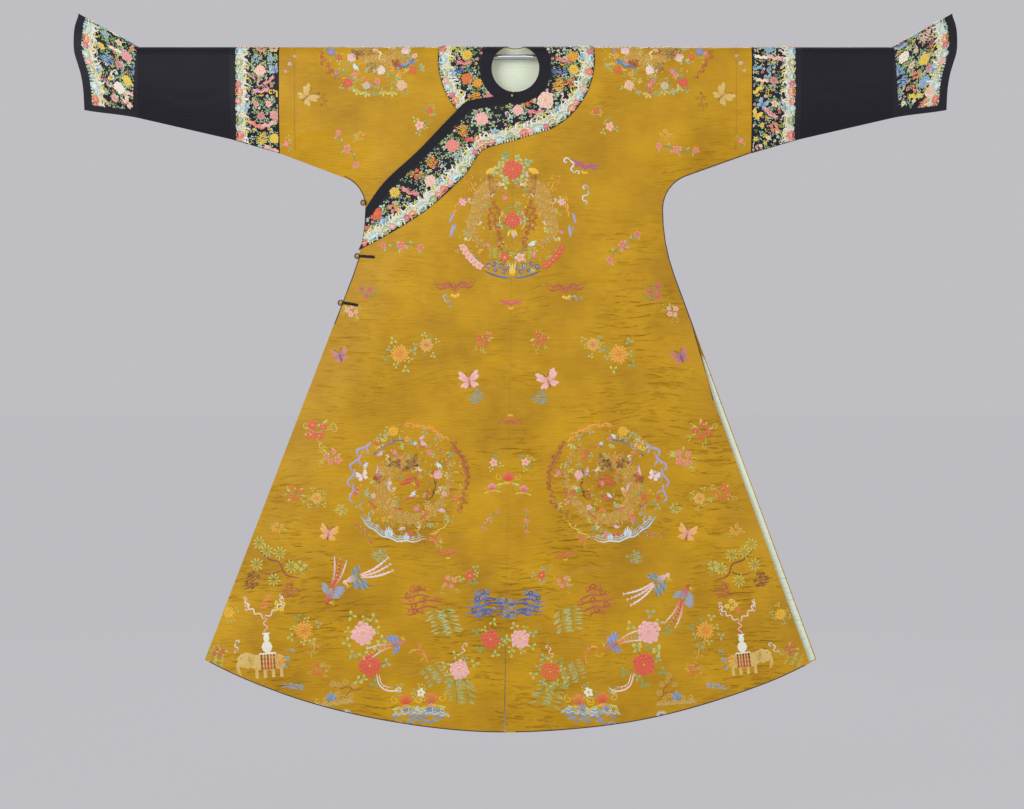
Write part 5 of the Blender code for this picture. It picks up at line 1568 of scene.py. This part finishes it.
# %% The layout of the gold ground
Motif = namedtuple("Motif", "draw off z size turn tones")
PAIRS = tuple(Motif(*row) for row in (
    (butterfly, 434, -86, 1.35, -50, ("tan", "pale_tan")),
    (scrolls, 398, -96, 0.8, 20, ("brown", "dark")),
    (spray, 470, -16, 0.6, 90, ("pink", "pale_pink")), (blossom, 480, -180, 1.1, 0, ("pink", "coral")),
    (spray, 345, -192, 1.35, -35, ("coral", "pink")),
    (blossom, 200, -146, 1.5, 0, ("pink", "pale_pink")),
    (blossom, 176, -114, 1.1, 0, ("red", "coral")),
    (vine, 318, -168, 0.7, 20, ("orange", "yellow")),
    (bat, 152, -237, 0.95, -14, ("rose", "purple")),
    (streamer, 118, -226, 1.35, 10, ("white", "aqua")),
    (streamer, 152, -285, 1.3, -30, ("grey", "white")),
    (spray, 232, -398, 1.45, 24, ("red", "pink")),
    (bat, 116, -490, 1.35, 8, ("brown", "flame")),
    (streamer, 134, -510, 0.9, 60, ("aqua", "blue")),
    (orchid, 305, -496, 1.35, 12, ("rose", "coral")),
    (vine, 335, -532, 0.9, -30, ("pink", "pale_pink")),
    (butterfly, 356, -630, 1.15, 18, ("purple", "orange")),
    (chrysanthemum, 230, -623, 1.55, 0, ("orange", "yellow")),
    (chrysanthemum, 172, -604, 1.15, 0, ("coral", "lemon")),
    (vine, 58, -597, 1.0, 40, ("red", "coral")),
    (butterfly, 84, -682, 1.35, 12, ("pink", "pale_pink")),
    (cloud, 70, -716, 0.8, 8, ("grey", "sage")),
    (vine, 402, -783, 1.45, 14, ("red", "coral")),
    (vine, 366, -838, 1.25, -28, ("coral", "pink")),
    (blossom, 35, -852, 1.3, 0, ("pink", "pale_pink")),
    (lotus, 30, -905, 0.8, 0, ("rose", "pink")),
    (vine, 446, -913, 1.15, 0, ("red", "orange")),
    (chrysanthemum, 404, -924, 1.0, 0, ("orange", "lemon")),
    (spray, 39, -973, 0.8, 70, ("coral", "pink")),
    (butterfly, 375, -1000, 1.25, -10, ("pink", "yellow")),
    (pine, 478, -1062, 1.7, 0, ("leaf", "lemon")),
    (bird, 318, -1094, 1.15, 205, ("green", "pale_pink")),
    (bird, 368, -1124, 1.05, 250, ("grey", "red")),
    (blossom, 75, -1088, 1.6, 0, ("red", "coral")),
    (vine, 115, -1102, 1.0, 0, ("pink", "coral")),
    (cloud, 190, -1140, 1.8, 6, ("brown", "flame")),
    (cloud, 46, -1146, 1.6, 3, ("navy", "blue")),
    (elephant, 494, -1246, 1.6, 0, ("orange", "white")),
    (chrysanthemum, 419, -1201, 1.65, 0, ("orange", "yellow")),
    (chrysanthemum, 579, -1168, 1.05, 0, ("yellow", "yellow")),
    (peony, 299, -1206, 1.9, 0, ("pink", "pale_pink")),
    (peony, 286, -1273, 1.8, 0, ("red", "coral")),
    (bamboo, 126, -1182, 1.5, 12, ("leaf", "pale_green")),
    (bird, 226, -1232, 0.95, 20, ("blue", "orange")),
    (crescent, 176, -1252, 1.2, 200, ("red", "lemon")),
    (streamer, 182, -1246, 1.3, 40, ("red", "yellow")),
    (crescent, 244, -1314, 1.5, 0, ("pale_pink", "white")),
    (rocks, 178, -1384, 1.2, 0, ("blue", "grey")),
    (surf, 156, -1372, 1.1, 0, ("aqua", "white")), (surf, 206, -1368, 1.0, 0, ("mint", "white")),
    (lotus, 152, -1350, 1.5, 0, ("flame", "orange")), (lotus, 204, -1348, 1.4, 0, ("red", "orange")),
    (blossom, 178, -1334, 1.5, 0, ("cream", "white")), (blossom, 224, -1328, 1.0, 0, ("tan", "cream")),
    (surf, 362, -1346, 1.2, 0, ("tan", "pale_tan")),
    (rocks, 440, -1322, 0.5, 0, ("blue", "aqua")),
    (vine, 392, -1284, 0.9, 0, ("red", "orange")),
    (spray, 454, -1262, 0.7, 90, ("blue", "aqua")),
    (vine, 600, -1246, 0.9, 0, ("brown", "coral")),
    (small_wave, 330, -1380, 1.5, 0, None),
    (bamboo, 84, -1334, 1.5, -10, ("leaf", "pale_sage")),
    (bamboo, 142, -1296, 1.3, 24, ("sage", "pale_sage")),
    (scrolls, 404, -1244, 0.9, -20, ("tan", "pale_tan")), (vine, 470, -1150, 0.9, 20, ("yellow", "lemon")),
    (vine, 250, -940, 0.8, 20, ("orange", "lemon")), (streamer, 284, -962, 0.9, 0, ("grey", "aqua")),
    (vine, 150, -1010, 0.8, 0, ("coral", "orange")), (vine, 268, -812, 0.8, 30, ("lemon", "yellow")),
    (cloud, 268, -1048, 0.8, -6, ("sage", "pale_sage")), (bat, 124, -1046, 0.7, 0, ("coral", "flame")),
    (bamboo, 604, -1262, 0.9, -20, ("leaf", "lemon")), (pine, 330, -1322, 0.9, 30, ("tan", "pale_tan")),
    (cloud, 452, -1120, 0.9, 0, ("brown", "flame")), (cloud, 533, -1098, 0.9, 20, ("brown", "dark")),
    (vine, 428, -1064, 0.8, -10, ("lemon", "sage")), (cloud, 350, -950, 0.7, 0, ("sage", "lemon")),
    (spray, 300, -1000, 0.8, -20, ("coral", "flame")), (vine, 480, -990, 0.8, 10, ("orange", "yellow")),
    (streamer, 560, -1236, 0.9, 20, ("white", "aqua")),
    (streamer, 90, -1240, 0.8, 0, ("pale_pink", "white")),
))
SINGLES = (
    Motif(lotus, 0, -884, 1.35, 0, ("red", "coral")),
    Motif(peony, 30, -1220, 1.75, 0, ("pink", "pale_pink")),
    Motif(peony, -32, -1220, 1.75, 0, ("red", "coral")),
    Motif(peony, 94, -1288, 1.8, 0, ("red", "orange")),
    Motif(peony, -96, -1284, 1.8, 0, ("pink", "pale_pink")),
    Motif(cloud, 0, -1158, 1.4, 0, ("navy", "grey")),
    Motif(bat, 0, -520, 0.9, 0, ("coral", "rose")),
    Motif(bat, 2, -760, 0.9, 180, ("brown", "coral")),
)
ROUNDELS = tuple(Motif(*row) for row in (
    (facing_roundel, 0, -344, 1.0, 0, None),
    (coiled_roundel, 209, -894, 1.0, 0, None),
))
SHOULDER_OFF = 0.2900
DARK_LINE_INSET = 0.0014
JOIN_X = 0.4620
JOIN_LOW = 0.2300
LAYOUT_SEED = 11


def stitch(panel, motif, side, back, rng):
    """One motif on one half, on the front or on the back."""
    z = motif.z / 1000
    x = centre_x(z) + side * motif.off / 1000
    t = -to_t(x, z) if back else to_t(x, z)
    pen = Pen(panel, (x, t), motif.size, motif.turn, hand=side, up=-1 if back else 1)
    if motif.tones is None:
        motif.draw(pen, rng)
    else:
        motif.draw(pen, rng, motif.tones)


def ground_layout(back):
    """All the drawings of one side of the robe, in two halves and a middle."""
    halves = {key: Stitches(GOLD_GREENS) for key in (1, -1, 0)}
    for side in (1, -1):
        rng = random.Random(LAYOUT_SEED + side + 7 * back)
        for motif in PAIRS:
            shifted = motif._replace(off=motif.off + rng.uniform(-4, 4), z=motif.z + rng.uniform(-3, 3),
                                     turn=motif.turn + rng.uniform(-8, 8),
                                     size=motif.size * rng.uniform(1.08, 1.22))
            stitch(halves[side], shifted, side, back, rng)
        stitch(halves[side], ROUNDELS[1], side, back, rng)
        # A thin dark line is laid just inside the side seam and along the hem of each half.
        seam = SEAMS[(side > 0, not back)]
        beside = curve_beside([p for p in seam if abs(p[0]) < BAND_START], side * DARK_LINE_INSET)
        inset = 0.0 if back or side < 0 else VENT_INSET
        foot = [(side * x, z) for x, z in hem(hem_corner()[0] - inset, 0.0, 60, DARK_LINE_INSET)[1:-1]]
        for path in (beside, leaned(foot)):
            edging(halves[side], on_back(path) if back else on_front(path), 2.4, "ink")
        join = [(side * JOIN_X, t) for t in np.linspace(0.0, -JOIN_LOW if back else JOIN_LOW, 40)]
        edging(halves[side], join, 1.3, "old_gold")
    rng = random.Random(LAYOUT_SEED + 100 + back)
    stitch(halves[0], ROUNDELS[0], 1, back, rng)
    for motif in SINGLES:
        stitch(halves[0], motif, 1, back, rng)
    return halves


# %% Where stitching may lie
OVER_LINE = [(x, to_t(x, z)) for x, z in overlap_top()]
ABOVE_OVERLAP = OVER_LINE + [(-1.2, OVER_LINE[-1][1]), (-1.2, 0.0), (OVER_LINE[0][0], 0.0)]
CENTRE_REACH = 0.0012


def within_any(outlines, places):
    held = np.zeros(len(places), bool)
    for outline in outlines:
        held |= in_polygon(outline, places[:, 0], places[:, 1])
    return held


def embroider(name, stitches, allowed, avoided, base, across_centre=False):
    """Hangs a panel's stitching on the form as one mesh, and leaves out what falls off its cloth."""
    places = np.concatenate(stitches.places)
    heights = np.concatenate(stitches.heights)
    tones = np.concatenate(stitches.tones)
    held = within_any(allowed, places)
    if across_centre:
        held |= np.abs(places[:, 0] - centre_x(FORM_RADIUS + QUARTER - np.abs(places[:, 1]))) < CENTRE_REACH
    held &= ~within_any(avoided, places)
    tucked = in_polygon(ABOVE_OVERLAP, places[:, 0], places[:, 1]) & (places[:, 1] > 0)
    hung = hang(places[:, 0], places[:, 1], base + heights, tucked)
    faces = [f if signed(places, f) < 0 else f[::-1] for f in stitches.faces if all(held[v] for v in f)]
    used = np.unique(np.concatenate([np.asarray(f) for f in faces]))
    new_number = np.full(len(places), -1)
    new_number[used] = np.arange(len(used))
    mesh = bpy.data.meshes.new(name)
    mesh.from_pydata(hung[used].tolist(), [], [tuple(int(new_number[v]) for v in f) for f in faces])
    layer = mesh.color_attributes.new("thread", "FLOAT_COLOR", "POINT")
    layer.data.foreach_set("color", tones[used].astype(np.float32).ravel())
    mesh.materials.append(embroidery_silk)
    mesh.shade_smooth()
    piece = bpy.data.objects.new(name, mesh)
    bpy.context.scene.collection.objects.link(piece)
    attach(piece, "root")
    print(name, sum(len(f) - 2 for f in faces), "triangles")
    return piece


embroidery_silk, tree, shader = finish("embroidery_silk", "c9a24a", 0.40, Sheen_Weight=0.25,
                                       Sheen_Roughness=0.4,
                                       Specular_IOR_Level=0.5)
thread = node(tree, "ShaderNodeAttribute", attribute_name="thread")
place = node(tree, "ShaderNodeTexCoord").outputs["Object"]
grain = node(tree, "ShaderNodeTexNoise", [("Vector", place)], Scale=700.0, Detail=3.0, Roughness=0.6)
shade = node(tree, "ShaderNodeMapRange", [("Value", grain.outputs["Fac"])], From_Min=0.3, From_Max=0.7,
             To_Min=0.78,
             To_Max=1.12)
toned = node(tree, "ShaderNodeVectorMath", [(0, thread.outputs["Color"]), (1, shade.outputs[0])],
             operation="MULTIPLY")
tree.links.new(toned.outputs[0], shader.inputs["Base Color"])
stitch_marks = node(tree, "ShaderNodeBump", [("Height", grain.outputs["Fac"])], Strength=0.5, Distance=0.0004)
tree.links.new(stitch_marks.outputs["Normal"], shader.inputs["Normal"])

# %% Stitch the gold ground
gold_grounds = [left_front_cut(), overlap_cut(), under_front_cut()]
front_trims = [collar_overlap_cut(), binding_overlap_cut(), on_front(under_ring(FACED + GAP, under_outer)),
               on_front(under_ring(NECK_RADIUS, under_near))]
back_grounds = [back_cut(True), back_cut(False)]
back_trims = [back_ring(neck_half, BACK_NECK_DEPTH, back_outer)]
for back, name in ((False, "front"), (True, "back")):
    halves = ground_layout(back)
    for side, half_name in ((1, "left"), (-1, "right"), (0, "middle")):
        embroider("%s_%s_stitches" % (name, half_name), halves[side], back_grounds if back else gold_grounds,
                  back_trims if back else front_trims, 0.0, across_centre=True)

for side, name in ((1, "left"), (-1, "right")):
    rng = random.Random(LAYOUT_SEED + 50 + side)
    shoulder = Stitches(GOLD_GREENS)
    whole = Pen(shoulder, (side * SHOULDER_OFF, 0.0), hand=-side)
    ground_scrolls(whole, rng, 118, 190)
    sprinkle(whole, rng, 114, 50)
    dragon(whole, rng, spiral(30, 94, 200, 540, 11, 4), 28, 1)
    for up in (1, -1):
        shoulder_roundel(Pen(shoulder, (side * SHOULDER_OFF, 0.0), hand=-side, up=up), rng)
    embroider("shoulder_%s_stitches" % name, shoulder, gold_grounds + back_grounds, front_trims + back_trims,
              0.0)


# %% [markdown]
# The wave border runs round the collar's edge and along the sleeve bands: combed coils of
# thread, with a curled crest at every few fans and white foam that reaches in.

# %% Wave borders
CELL = 30.0
UNDERLAY_STEP = 6.0
UNDERLAY = ("cream", "pale_green", "cream", "aqua", "cream", "pale_tan")
COMB_TONES = ("cream", "sage", "white", "aqua", "cream", "pale_green")
COIL_TONES = (("coral", "pink"), ("aqua", "white"), ("sage", "cream"), ("mint", "white"),
              ("orange", "pale_pink"), ("aqua", "cream"), ("sage", "pale_green"))
DISC_TONES = (("coral", "pale_pink"), ("pink", "pale_pink"), ("rose", "pink"))
FOAM_TONES = ("white", "cream", "lemon")


def walk(path, step):
    """Places and directions at even steps along a path of flat points."""
    path = np.array(path, float)
    lengths = np.hypot(*np.diff(path, axis=0).T)
    total = np.concatenate([[0.0], np.cumsum(lengths)])
    for reach in np.arange(step / 2, total[-1], step):
        n = int(np.searchsorted(total, reach) - 1)
        share = (reach - total[n]) / max(1e-9, lengths[n])
        place = path[n] + (path[n + 1] - path[n]) * share
        yield place, (path[n + 1] - path[n]) / max(1e-9, lengths[n])


def wave_border(panel, path, width, up, rng):
    """Waves along a path. Up is 1 where the cloth lies to the left of the way that it runs, else -1.

    A cream underlay covers the border. Each cell then holds a coil of thread at the outer edge,
    combed waves that sweep along, coiled crests, and uneven claws of foam that reach in.
    """
    for n, (place, along) in enumerate(walk(path, UNDERLAY_STEP / 1000)):
        pen = Pen(panel, place, 1.0, math.degrees(math.atan2(-along[1], along[0])))
        top = width * (0.90 + 0.10 * math.sin(n * 1.7))
        line(pen, [(-3, 0), (0, up * top * 0.5), (3, up * top)], UNDERLAY_STEP * 1.7, UNDERLAY[(n // 3) % 6],
             UNDERLAY[(n // 2) % 6], taper=False, crest=0.0004)
    for n, (place, along) in enumerate(walk(path, CELL / 1000)):
        pen = Pen(panel, place, 1.0, math.degrees(math.atan2(-along[1], along[0])))
        lean = 1 if n % 4 else -1
        for k in range(5):
            rise = 0.17 * k
            spots = bent([(lean * -19, up * width * (0.10 + rise * 0.7)),
                          (lean * -9, up * width * (0.30 + rise)),
                          (lean * 3, up * width * (0.34 + rise * 0.9)),
                          (lean * 12, up * width * (0.18 + rise * 0.9)),
                          (lean * 19, up * width * (0.14 + rise * 0.7))])
            line(pen, spots, 2.6, COMB_TONES[(k + n) % 6], COMB_TONES[(k + n + 2) % 6], lift=2 + k % 2)
        coil = COIL_TONES[n % 7]
        centre = (lean * -3, up * 9.0)
        dot(pen, centre, 7.6 + n * 7 % 3, coil[1], lift=4)
        curl(pen, centre, 8.4 + n * 7 % 3, 2.2, coil[0], 2.4, -90 * up, lean * up, lift=6)
        if n % 2 == 0:
            disc = DISC_TONES[(n // 2) % 3]
            dot(pen, (lean * 12, up * width * 0.36), 6.4, disc[1], lift=5)
            curl(pen, (lean * 12, up * width * 0.36), 6.4, 2.4, disc[0], 1.8, rng.uniform(0, 360), lean,
                 lift=7)
        for u, v in ((-10, 0.70), (5, 0.78)):
            curl(pen, (lean * u, up * width * v), 4.6, 2.0, "white", 1.2, rng.uniform(0, 360), lean, "cream",
                 lift=6)
        for k in range(3):
            u = -12 + k * 11 + rng.uniform(-4, 4)
            reach = width + rng.uniform(1, 9)
            finger = bent([(u, up * width * 0.72), (u + lean * 1.5, up * (width * 0.5 + reach * 0.45)),
                           (u + lean * rng.uniform(2, 7), up * reach)])
            tone = FOAM_TONES[(k + n) % 3]
            line(pen, finger, 3.2, tone, lift=6)
            curl(pen, (finger[-1][0] + lean * 2, finger[-1][1]), 2.8, 1.6, tone, 0.9, rng.uniform(0, 360),
                 lean, lift=6)
        if n % 5 == 2:
            for u, v in ((-6, 5), (0, 9), (6, 4)):
                leaf(pen, (u, up * width * 0.85), (u + 1, up * (width + v)), 7.0, "blue", "aqua", lift=7)


# %% The collar's embroidery
RING_WIDTH = 27.0
RingMotif = namedtuple("RingMotif", "draw angle radius size tones")
RING = tuple(RingMotif(*row) for row in (
    (chrysanthemum, 176, 104, 1.0, ("yellow", "lemon")), (bat, 186, 110, 0.6, ("rose", "pink")),
    (vine, 170, 125, 0.8, ("leaf", "lemon")), (rocks, 192, 122, 0.5, ("blue", "navy")),
    (peony, 202, 112, 0.9, ("red", "orange")), (chrysanthemum, 212, 96, 0.9, ("yellow", "orange")),
    (cloud, 224, 116, 0.6, ("yellow", "orange")), (peony, 236, 100, 0.9, ("rose", "pink")),
    (bat, 247, 121, 0.7, ("coral", "rose")), (vine, 254, 98, 0.9, ("pink", "pale_pink")),
    (streamer, 262, 122, 0.8, ("white", "aqua")), (peony, 272, 108, 0.85, ("pink", "pale_pink")),
    (vine, 284, 92, 0.8, ("coral", "red")), (bat, 290, 122, 0.65, ("rose", "pink")),
    (peony, 305, 106, 1.4, ("pink", "cream")), (streamer, 320, 122, 0.8, ("cream", "pale_pink")),
    (cloud, 329, 106, 0.75, ("yellow", "orange")), (vine, 336, 126, 0.7, ("red", "coral")),
    (rocks, 343, 100, 0.5, ("blue", "navy")), (chrysanthemum, 349, 122, 1.0, ("yellow", "lemon")),
    (bat, 356, 98, 0.6, ("pink", "rose")), (chrysanthemum, 2, 118, 1.0, ("yellow", "orange")),
))
EDGE_ROW = tuple(Motif(*row) for row in (
    (peony, -70, -132, 1.1, 0, ("pink", "pale_pink")), (cloud, -108, -158, 0.7, -30, ("yellow", "orange")),
    (bat, -88, -178, 0.7, 10, ("coral", "rose")), (peony, -132, -188, 1.1, 0, ("coral", "pink")),
    (vine, -116, -212, 0.8, 20, ("blue", "aqua")), (streamer, -150, -238, 0.8, 0, ("white", "aqua")),
    (cloud, -176, -222, 0.65, -40, ("yellow", "orange")), (peony, -178, -262, 1.0, 0, ("pink", "cream")),
    (vine, -208, -248, 0.8, 10, ("red", "coral")), (bat, -222, -288, 0.7, -20, ("rose", "pink")),
    (chrysanthemum, -252, -286, 1.0, 0, ("yellow", "lemon")), (vine, -256, -318, 0.8, 0, ("pink", "coral")),
    (peony, -292, -330, 1.1, 0, ("red", "coral")), (cloud, -276, -348, 0.6, -20, ("blue", "aqua")),
    (bat, -318, -362, 0.6, 0, ("coral", "rose")),
))

UNDER_ANGLES = (150, 262)
SPRIG_STEP = 0.0105
BUD_TONES = (("pink", "pale_pink"), ("cream", "pale_pink"), ("yellow", "lemon"), ("white", "cream"),
             ("coral", "pink"))


def leafage(panel, outline, spacing, rng):
    """Small trefoils and buds that fill the ground between the flowers."""
    low, high = np.min(outline, axis=0), np.max(outline, axis=0)
    for row, t in enumerate(np.arange(low[1], high[1], spacing * 0.9)):
        for x in np.arange(low[0] + (row % 2) * spacing / 2, high[0], spacing):
            place = (x + rng.uniform(-0.3, 0.3) * spacing, t + rng.uniform(-0.3, 0.3) * spacing)
            if not in_polygon(outline, np.array([place[0]]), np.array([place[1]]))[0]:
                continue
            pen = Pen(panel, place)
            kind = rng.random()
            if kind < 0.62:
                trefoil(pen, (0, 0), rng.uniform(4.2, 5.8), rng, pen.any_green(rng))
            elif kind < 0.80:
                petals(pen, (0, 0), 0.3, 4.0, 5, 2.8, *rng.choice(BUD_TONES))
            elif kind < 0.90:
                curl(pen, (0, 0), 3.4, 1.3, rng.choice(("cream", "pale_pink", "aqua")), 1.1,
                     rng.uniform(0, 360))


collar_overlap_edge = on_front(border_line())
rng = random.Random(LAYOUT_SEED + 200)
collars = {name: Stitches(NAVY_GREENS) for name in ("overlap", "under", "back")}
leafage(collars["overlap"], collar_overlap_cut(), SPRIG_STEP, rng)
leafage(collars["under"], on_front(under_ring(FACED + GAP, under_outer)), SPRIG_STEP, rng)
leafage(collars["back"], back_ring(faced_half + GAP, faced_depth + GAP, back_outer), SPRIG_STEP, rng)
for item in RING:
    angle = math.radians(item.angle)
    x, z = COLLAR[0] + item.radius / 1000 * math.cos(angle), COLLAR[1] + item.radius / 1000 * math.sin(angle)
    front = "under" if UNDER_ANGLES[0] < item.angle < UNDER_ANGLES[1] else "overlap"
    for back, name in ((False, front), (True, "back")):
        t = (-1 if back else 1) * max(0.002, to_t(x, z))
        pen = Pen(collars[name], (x, t), item.size * 1.15, rng.uniform(-20, 20), up=-1 if back else 1, lift=2)
        item.draw(pen, rng, item.tones)
for item in EDGE_ROW:
    x, z = item.off / 1000, item.z / 1000
    item.draw(Pen(collars["overlap"], (x, to_t(x, z)), item.size * 1.1, item.turn, lift=2), rng, item.tones)
for place, along in walk(on_front(overlap_lines()[2][20:]), 0.0095):
    pen = Pen(collars["overlap"], (place[0] - along[1] * 0.0055, place[1] + along[0] * 0.0055), lift=2)
    trefoil(pen, (0, 0), rng.uniform(4.5, 6.0), rng, pen.any_green(rng))
wave_border(collars["overlap"], collar_overlap_edge, RING_WIDTH, 1, rng)
wave_border(collars["under"], on_front(under_outer), RING_WIDTH, 1, rng)
wave_border(collars["back"], back_outer, RING_WIDTH, -1, rng)
edging(collars["overlap"], collar_overlap_edge, 3.6, "ink")
edging(collars["under"], on_front(under_outer), 3.6, "ink")
edging(collars["back"], back_outer, 3.6, "ink")
for name, allowed, avoided in (
    ("overlap", [collar_overlap_cut()], [binding_overlap_cut()]),
    ("under", [on_front(under_ring(FACED + GAP, under_outer))],
     [binding_overlap_cut(), collar_overlap_cut()]),
    ("back", [back_ring(faced_half + GAP, faced_depth + GAP, back_outer)], []),
):
    embroider("collar_%s_stitches" % name, collars[name], allowed, avoided, GAP + BORDER)

# %% The sleeve bands and the cuffs
BAND_WAVES = 0.0240
BAND_STRIPE = 0.0110
CUFF_WAVES = 0.0260
CUFF_BINDING = 0.0160
CUFF_STRIP = 0.0085
CUFF_SLANT = 0.0130
FILLERS = (
    (peony, 1.05), (chrysanthemum, 0.8), (vine, 0.8), (blossom, 1.3), (peony, 0.9), (bat, 0.75),
    (cloud, 0.75),
    (spray, 0.9), (streamer, 1.3), (blossom, 1.1), (streamer, 1.1), (butterfly, 0.75), (bat, 0.6),
    (scrolls, 0.7),
)
FILLER_TONES = (("pink", "pale_pink"), ("coral", "pink"), ("yellow", "lemon"), ("rose", "pale_pink"),
                ("blue", "aqua"),
                ("cream", "pale_pink"), ("white", "cream"), ("pink", "cream"))


def fill_panel(panel, low, high, spacing, side, rng):
    """Rows of mixed drawings over a strip of the cut, each row shifted by half a step."""
    (x0, t0), (x1, t1) = low, high
    for row, t in enumerate(np.arange(t0 + spacing / 2, t1, spacing * 0.86)):
        for x in np.arange(x0 + spacing * (0.5 if row % 2 else 0.15), x1, spacing):
            draw, size = rng.choice(FILLERS)
            pen = Pen(panel, (side * (x + rng.uniform(-2, 2) / 1000), t + rng.uniform(-2, 2) / 1000), size,
                      rng.uniform(-40, 40), hand=rng.choice((-1, 1)), up=1 if t > 0 else -1, lift=2)
            draw(pen, rng, rng.choice(FILLER_TONES))


def cuff_ground_cut(side):
    """The embroidered part of a cuff, inside its binding and above its plain strip, and its mouth line."""
    foot = CUFF_MOUTH[-1][1] + CUFF_STRIP
    edge = [(x - CUFF_BINDING, z) for x, z in through(CUFF_MOUTH, 5) if z > foot]
    edge += [(CUFF_MOUTH[-1][0] - CUFF_BINDING, foot)]
    front = [(side * x, max(0.0, to_t(x, z))) for x, z in edge]
    start = (side * (CUFF_START + CUFF_SLANT), to_t(CUFF_START, sleeve_seam_z(CUFF_START) + CUFF_STRIP))
    mouth = front[::-1] + [(x, -t) for x, t in front[1:]]
    return [start, *mouth, (start[0], -start[1]), (side * (CUFF_START + SEAM), 0.0)], mouth


for side, name in ((1, "left"), (-1, "right")):
    rng = random.Random(LAYOUT_SEED + 300 + side)
    band, cuff = Stitches(NAVY_GREENS), Stitches(NAVY_GREENS)
    band_t = to_t(BAND_START, sleeve_seam_z(BAND_START))
    outer = BAND_END - BAND_STRIPE
    band_ground = sleeve_cut(BAND_START + 0.0015, outer, side)
    leafage(band, band_ground, SPRIG_STEP, rng)
    fill_panel(band, (BAND_START + 0.006, -band_t), (outer - BAND_WAVES - 0.006, band_t), 0.0275, side, rng)
    outer_line = [(side * outer, t) for t in np.linspace(-band_t, band_t, 60)]
    wave_border(band, outer_line, BAND_WAVES * 1000, -side, rng)
    edging(band, outer_line, 2.4, "navy")
    embroider("sleeve_band_%s_stitches" % name, band, [band_ground], [], 0.0)
    cuff_ground, mouth = cuff_ground_cut(side)
    leafage(cuff, cuff_ground, SPRIG_STEP, rng)
    reach = max(t for _, t in cuff_ground)
    fill_panel(cuff, (CUFF_START + 0.008, -reach), (CUFF_TIP_X - CUFF_BINDING - CUFF_WAVES, reach), 0.0280,
               side, rng)
    wave_border(cuff, mouth, CUFF_WAVES * 1000, side, rng)
    edging(cuff, mouth, 2.4, "navy")
    embroider("cuff_%s_stitches" % name, cuff, [cuff_ground], [], 0.0)

# %% [markdown]
# The small hard pieces keep their solids and get their own finishes: polished steel for the rod,
# gilt brass for the knobs, cotton for the rolls.

# %% Rod, rolls, knobs and cords
steel, tree, shader = finish("polished_steel", "c9cbce", 0.18, 1.0)
brushed = node(tree, "ShaderNodeTexNoise", Scale=300.0, Detail=2.0)
spread = node(tree, "ShaderNodeMapRange", [("Value", brushed.outputs["Fac"])], To_Min=0.14, To_Max=0.26)
tree.links.new(spread.outputs[0], shader.inputs["Roughness"])
gilt, tree, shader = finish("gilt_brass", "c69a4a", 0.32, 1.0)
crease_shade_and_wear = node(tree, "ShaderNodeTexNoise", Scale=420.0, Detail=3.0)
tree.links.new(node(tree, "ShaderNodeBump", [("Height", crease_shade_and_wear.outputs["Fac"])], Strength=0.5,
                    Distance=0.0006).outputs["Normal"], shader.inputs["Normal"])
cotton, tree, shader = finish("undyed_cotton", "d6d0c0", 0.9)
cord_silk, tree, shader = finish("black_silk_cord", "2c2826", 0.7)
for name, used in (("hanging_rod", steel), ("rod_roll_left", cotton), ("rod_roll_right", cotton),
                   ("knob_neck", gilt), ("knob_underarm", gilt), ("knob_side", gilt), ("knob_hip", gilt),
                   ("loop_underarm", cord_silk), ("loop_side", cord_silk), ("loop_hip", cord_silk),
                   ("strap_side", navy_silk), ("strap_hip", navy_silk)):
    for slot_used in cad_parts[name].material_slots:
        slot_used.material = used

# %% [markdown]
# The studio: a plain pale floor, a soft key light from the viewer's upper left, a weaker fill, and
# the camera square to the robe, as the photograph has it.

# %% Floor, lights and camera
FLOOR_Z = -1.62
PHOTO_SIZE = (1024, 809)
PHOTO_SCALE = 0.0021
CAMERA_DISTANCE = 5.0
SENSOR = 36.0

bpy.context.scene.view_settings.view_transform = "Standard"
bpy.ops.mesh.primitive_plane_add(size=400, location=(0, 0, FLOOR_Z))
floor = bpy.context.object
floor.name = "floor"
floor_paint, tree, shader = finish("floor_paint", "38383a", 0.95, Specular_IOR_Level=0.0)
shader.inputs["Emission Color"].default_value = colour("bbbabf")
shader.inputs["Emission Strength"].default_value = 0.98
floor.data.materials.append(floor_paint)

world = bpy.data.worlds.new("studio")
bpy.context.scene.world = world
world.use_nodes = True
world.node_tree.nodes["Background"].inputs["Color"].default_value = colour("bfbec3")
world.node_tree.nodes["Background"].inputs["Strength"].default_value = 1.0

Lamp = namedtuple("Lamp", "name place aim size power")
LAMPS = (
    Lamp("key", (-1.9, -3.7, 0.5), (0.0, 0.0, -0.6), 1.8, 72.0),
    Lamp("fill", (2.6, -3.7, -0.2), (0.0, 0.0, -0.7), 2.6, 36.0),
    Lamp("overhead", (0.0, -3.0, 1.9), (0.0, 0.0, -0.3), 1.2, 9.0),
    Lamp("rim", (0.5, 3.0, 1.8), (0.0, 0.0, -0.5), 2.2, 60.0),
)
for lamp in LAMPS:
    data = bpy.data.lights.new(lamp.name, "AREA")
    data.size = lamp.size
    data.energy = lamp.power
    light = bpy.data.objects.new(lamp.name, data)
    light.location = lamp.place
    light.rotation_euler = (Vector(lamp.aim) - Vector(lamp.place)).to_track_quat("-Z", "Y").to_euler()
    bpy.context.scene.collection.objects.link(light)

camera_data = bpy.data.cameras.new("camera")
camera_data.sensor_width = SENSOR
camera_data.lens = SENSOR * CAMERA_DISTANCE / (PHOTO_SIZE[0] * PHOTO_SCALE)
camera = bpy.data.objects.new("camera", camera_data)
camera.location = ((512 - 515.4) * PHOTO_SCALE, -CAMERA_DISTANCE, (57.2 - 404.5) * PHOTO_SCALE)
camera.rotation_euler = (math.pi / 2, 0, 0)
bpy.context.scene.collection.objects.link(camera)
bpy.context.scene.camera = camera
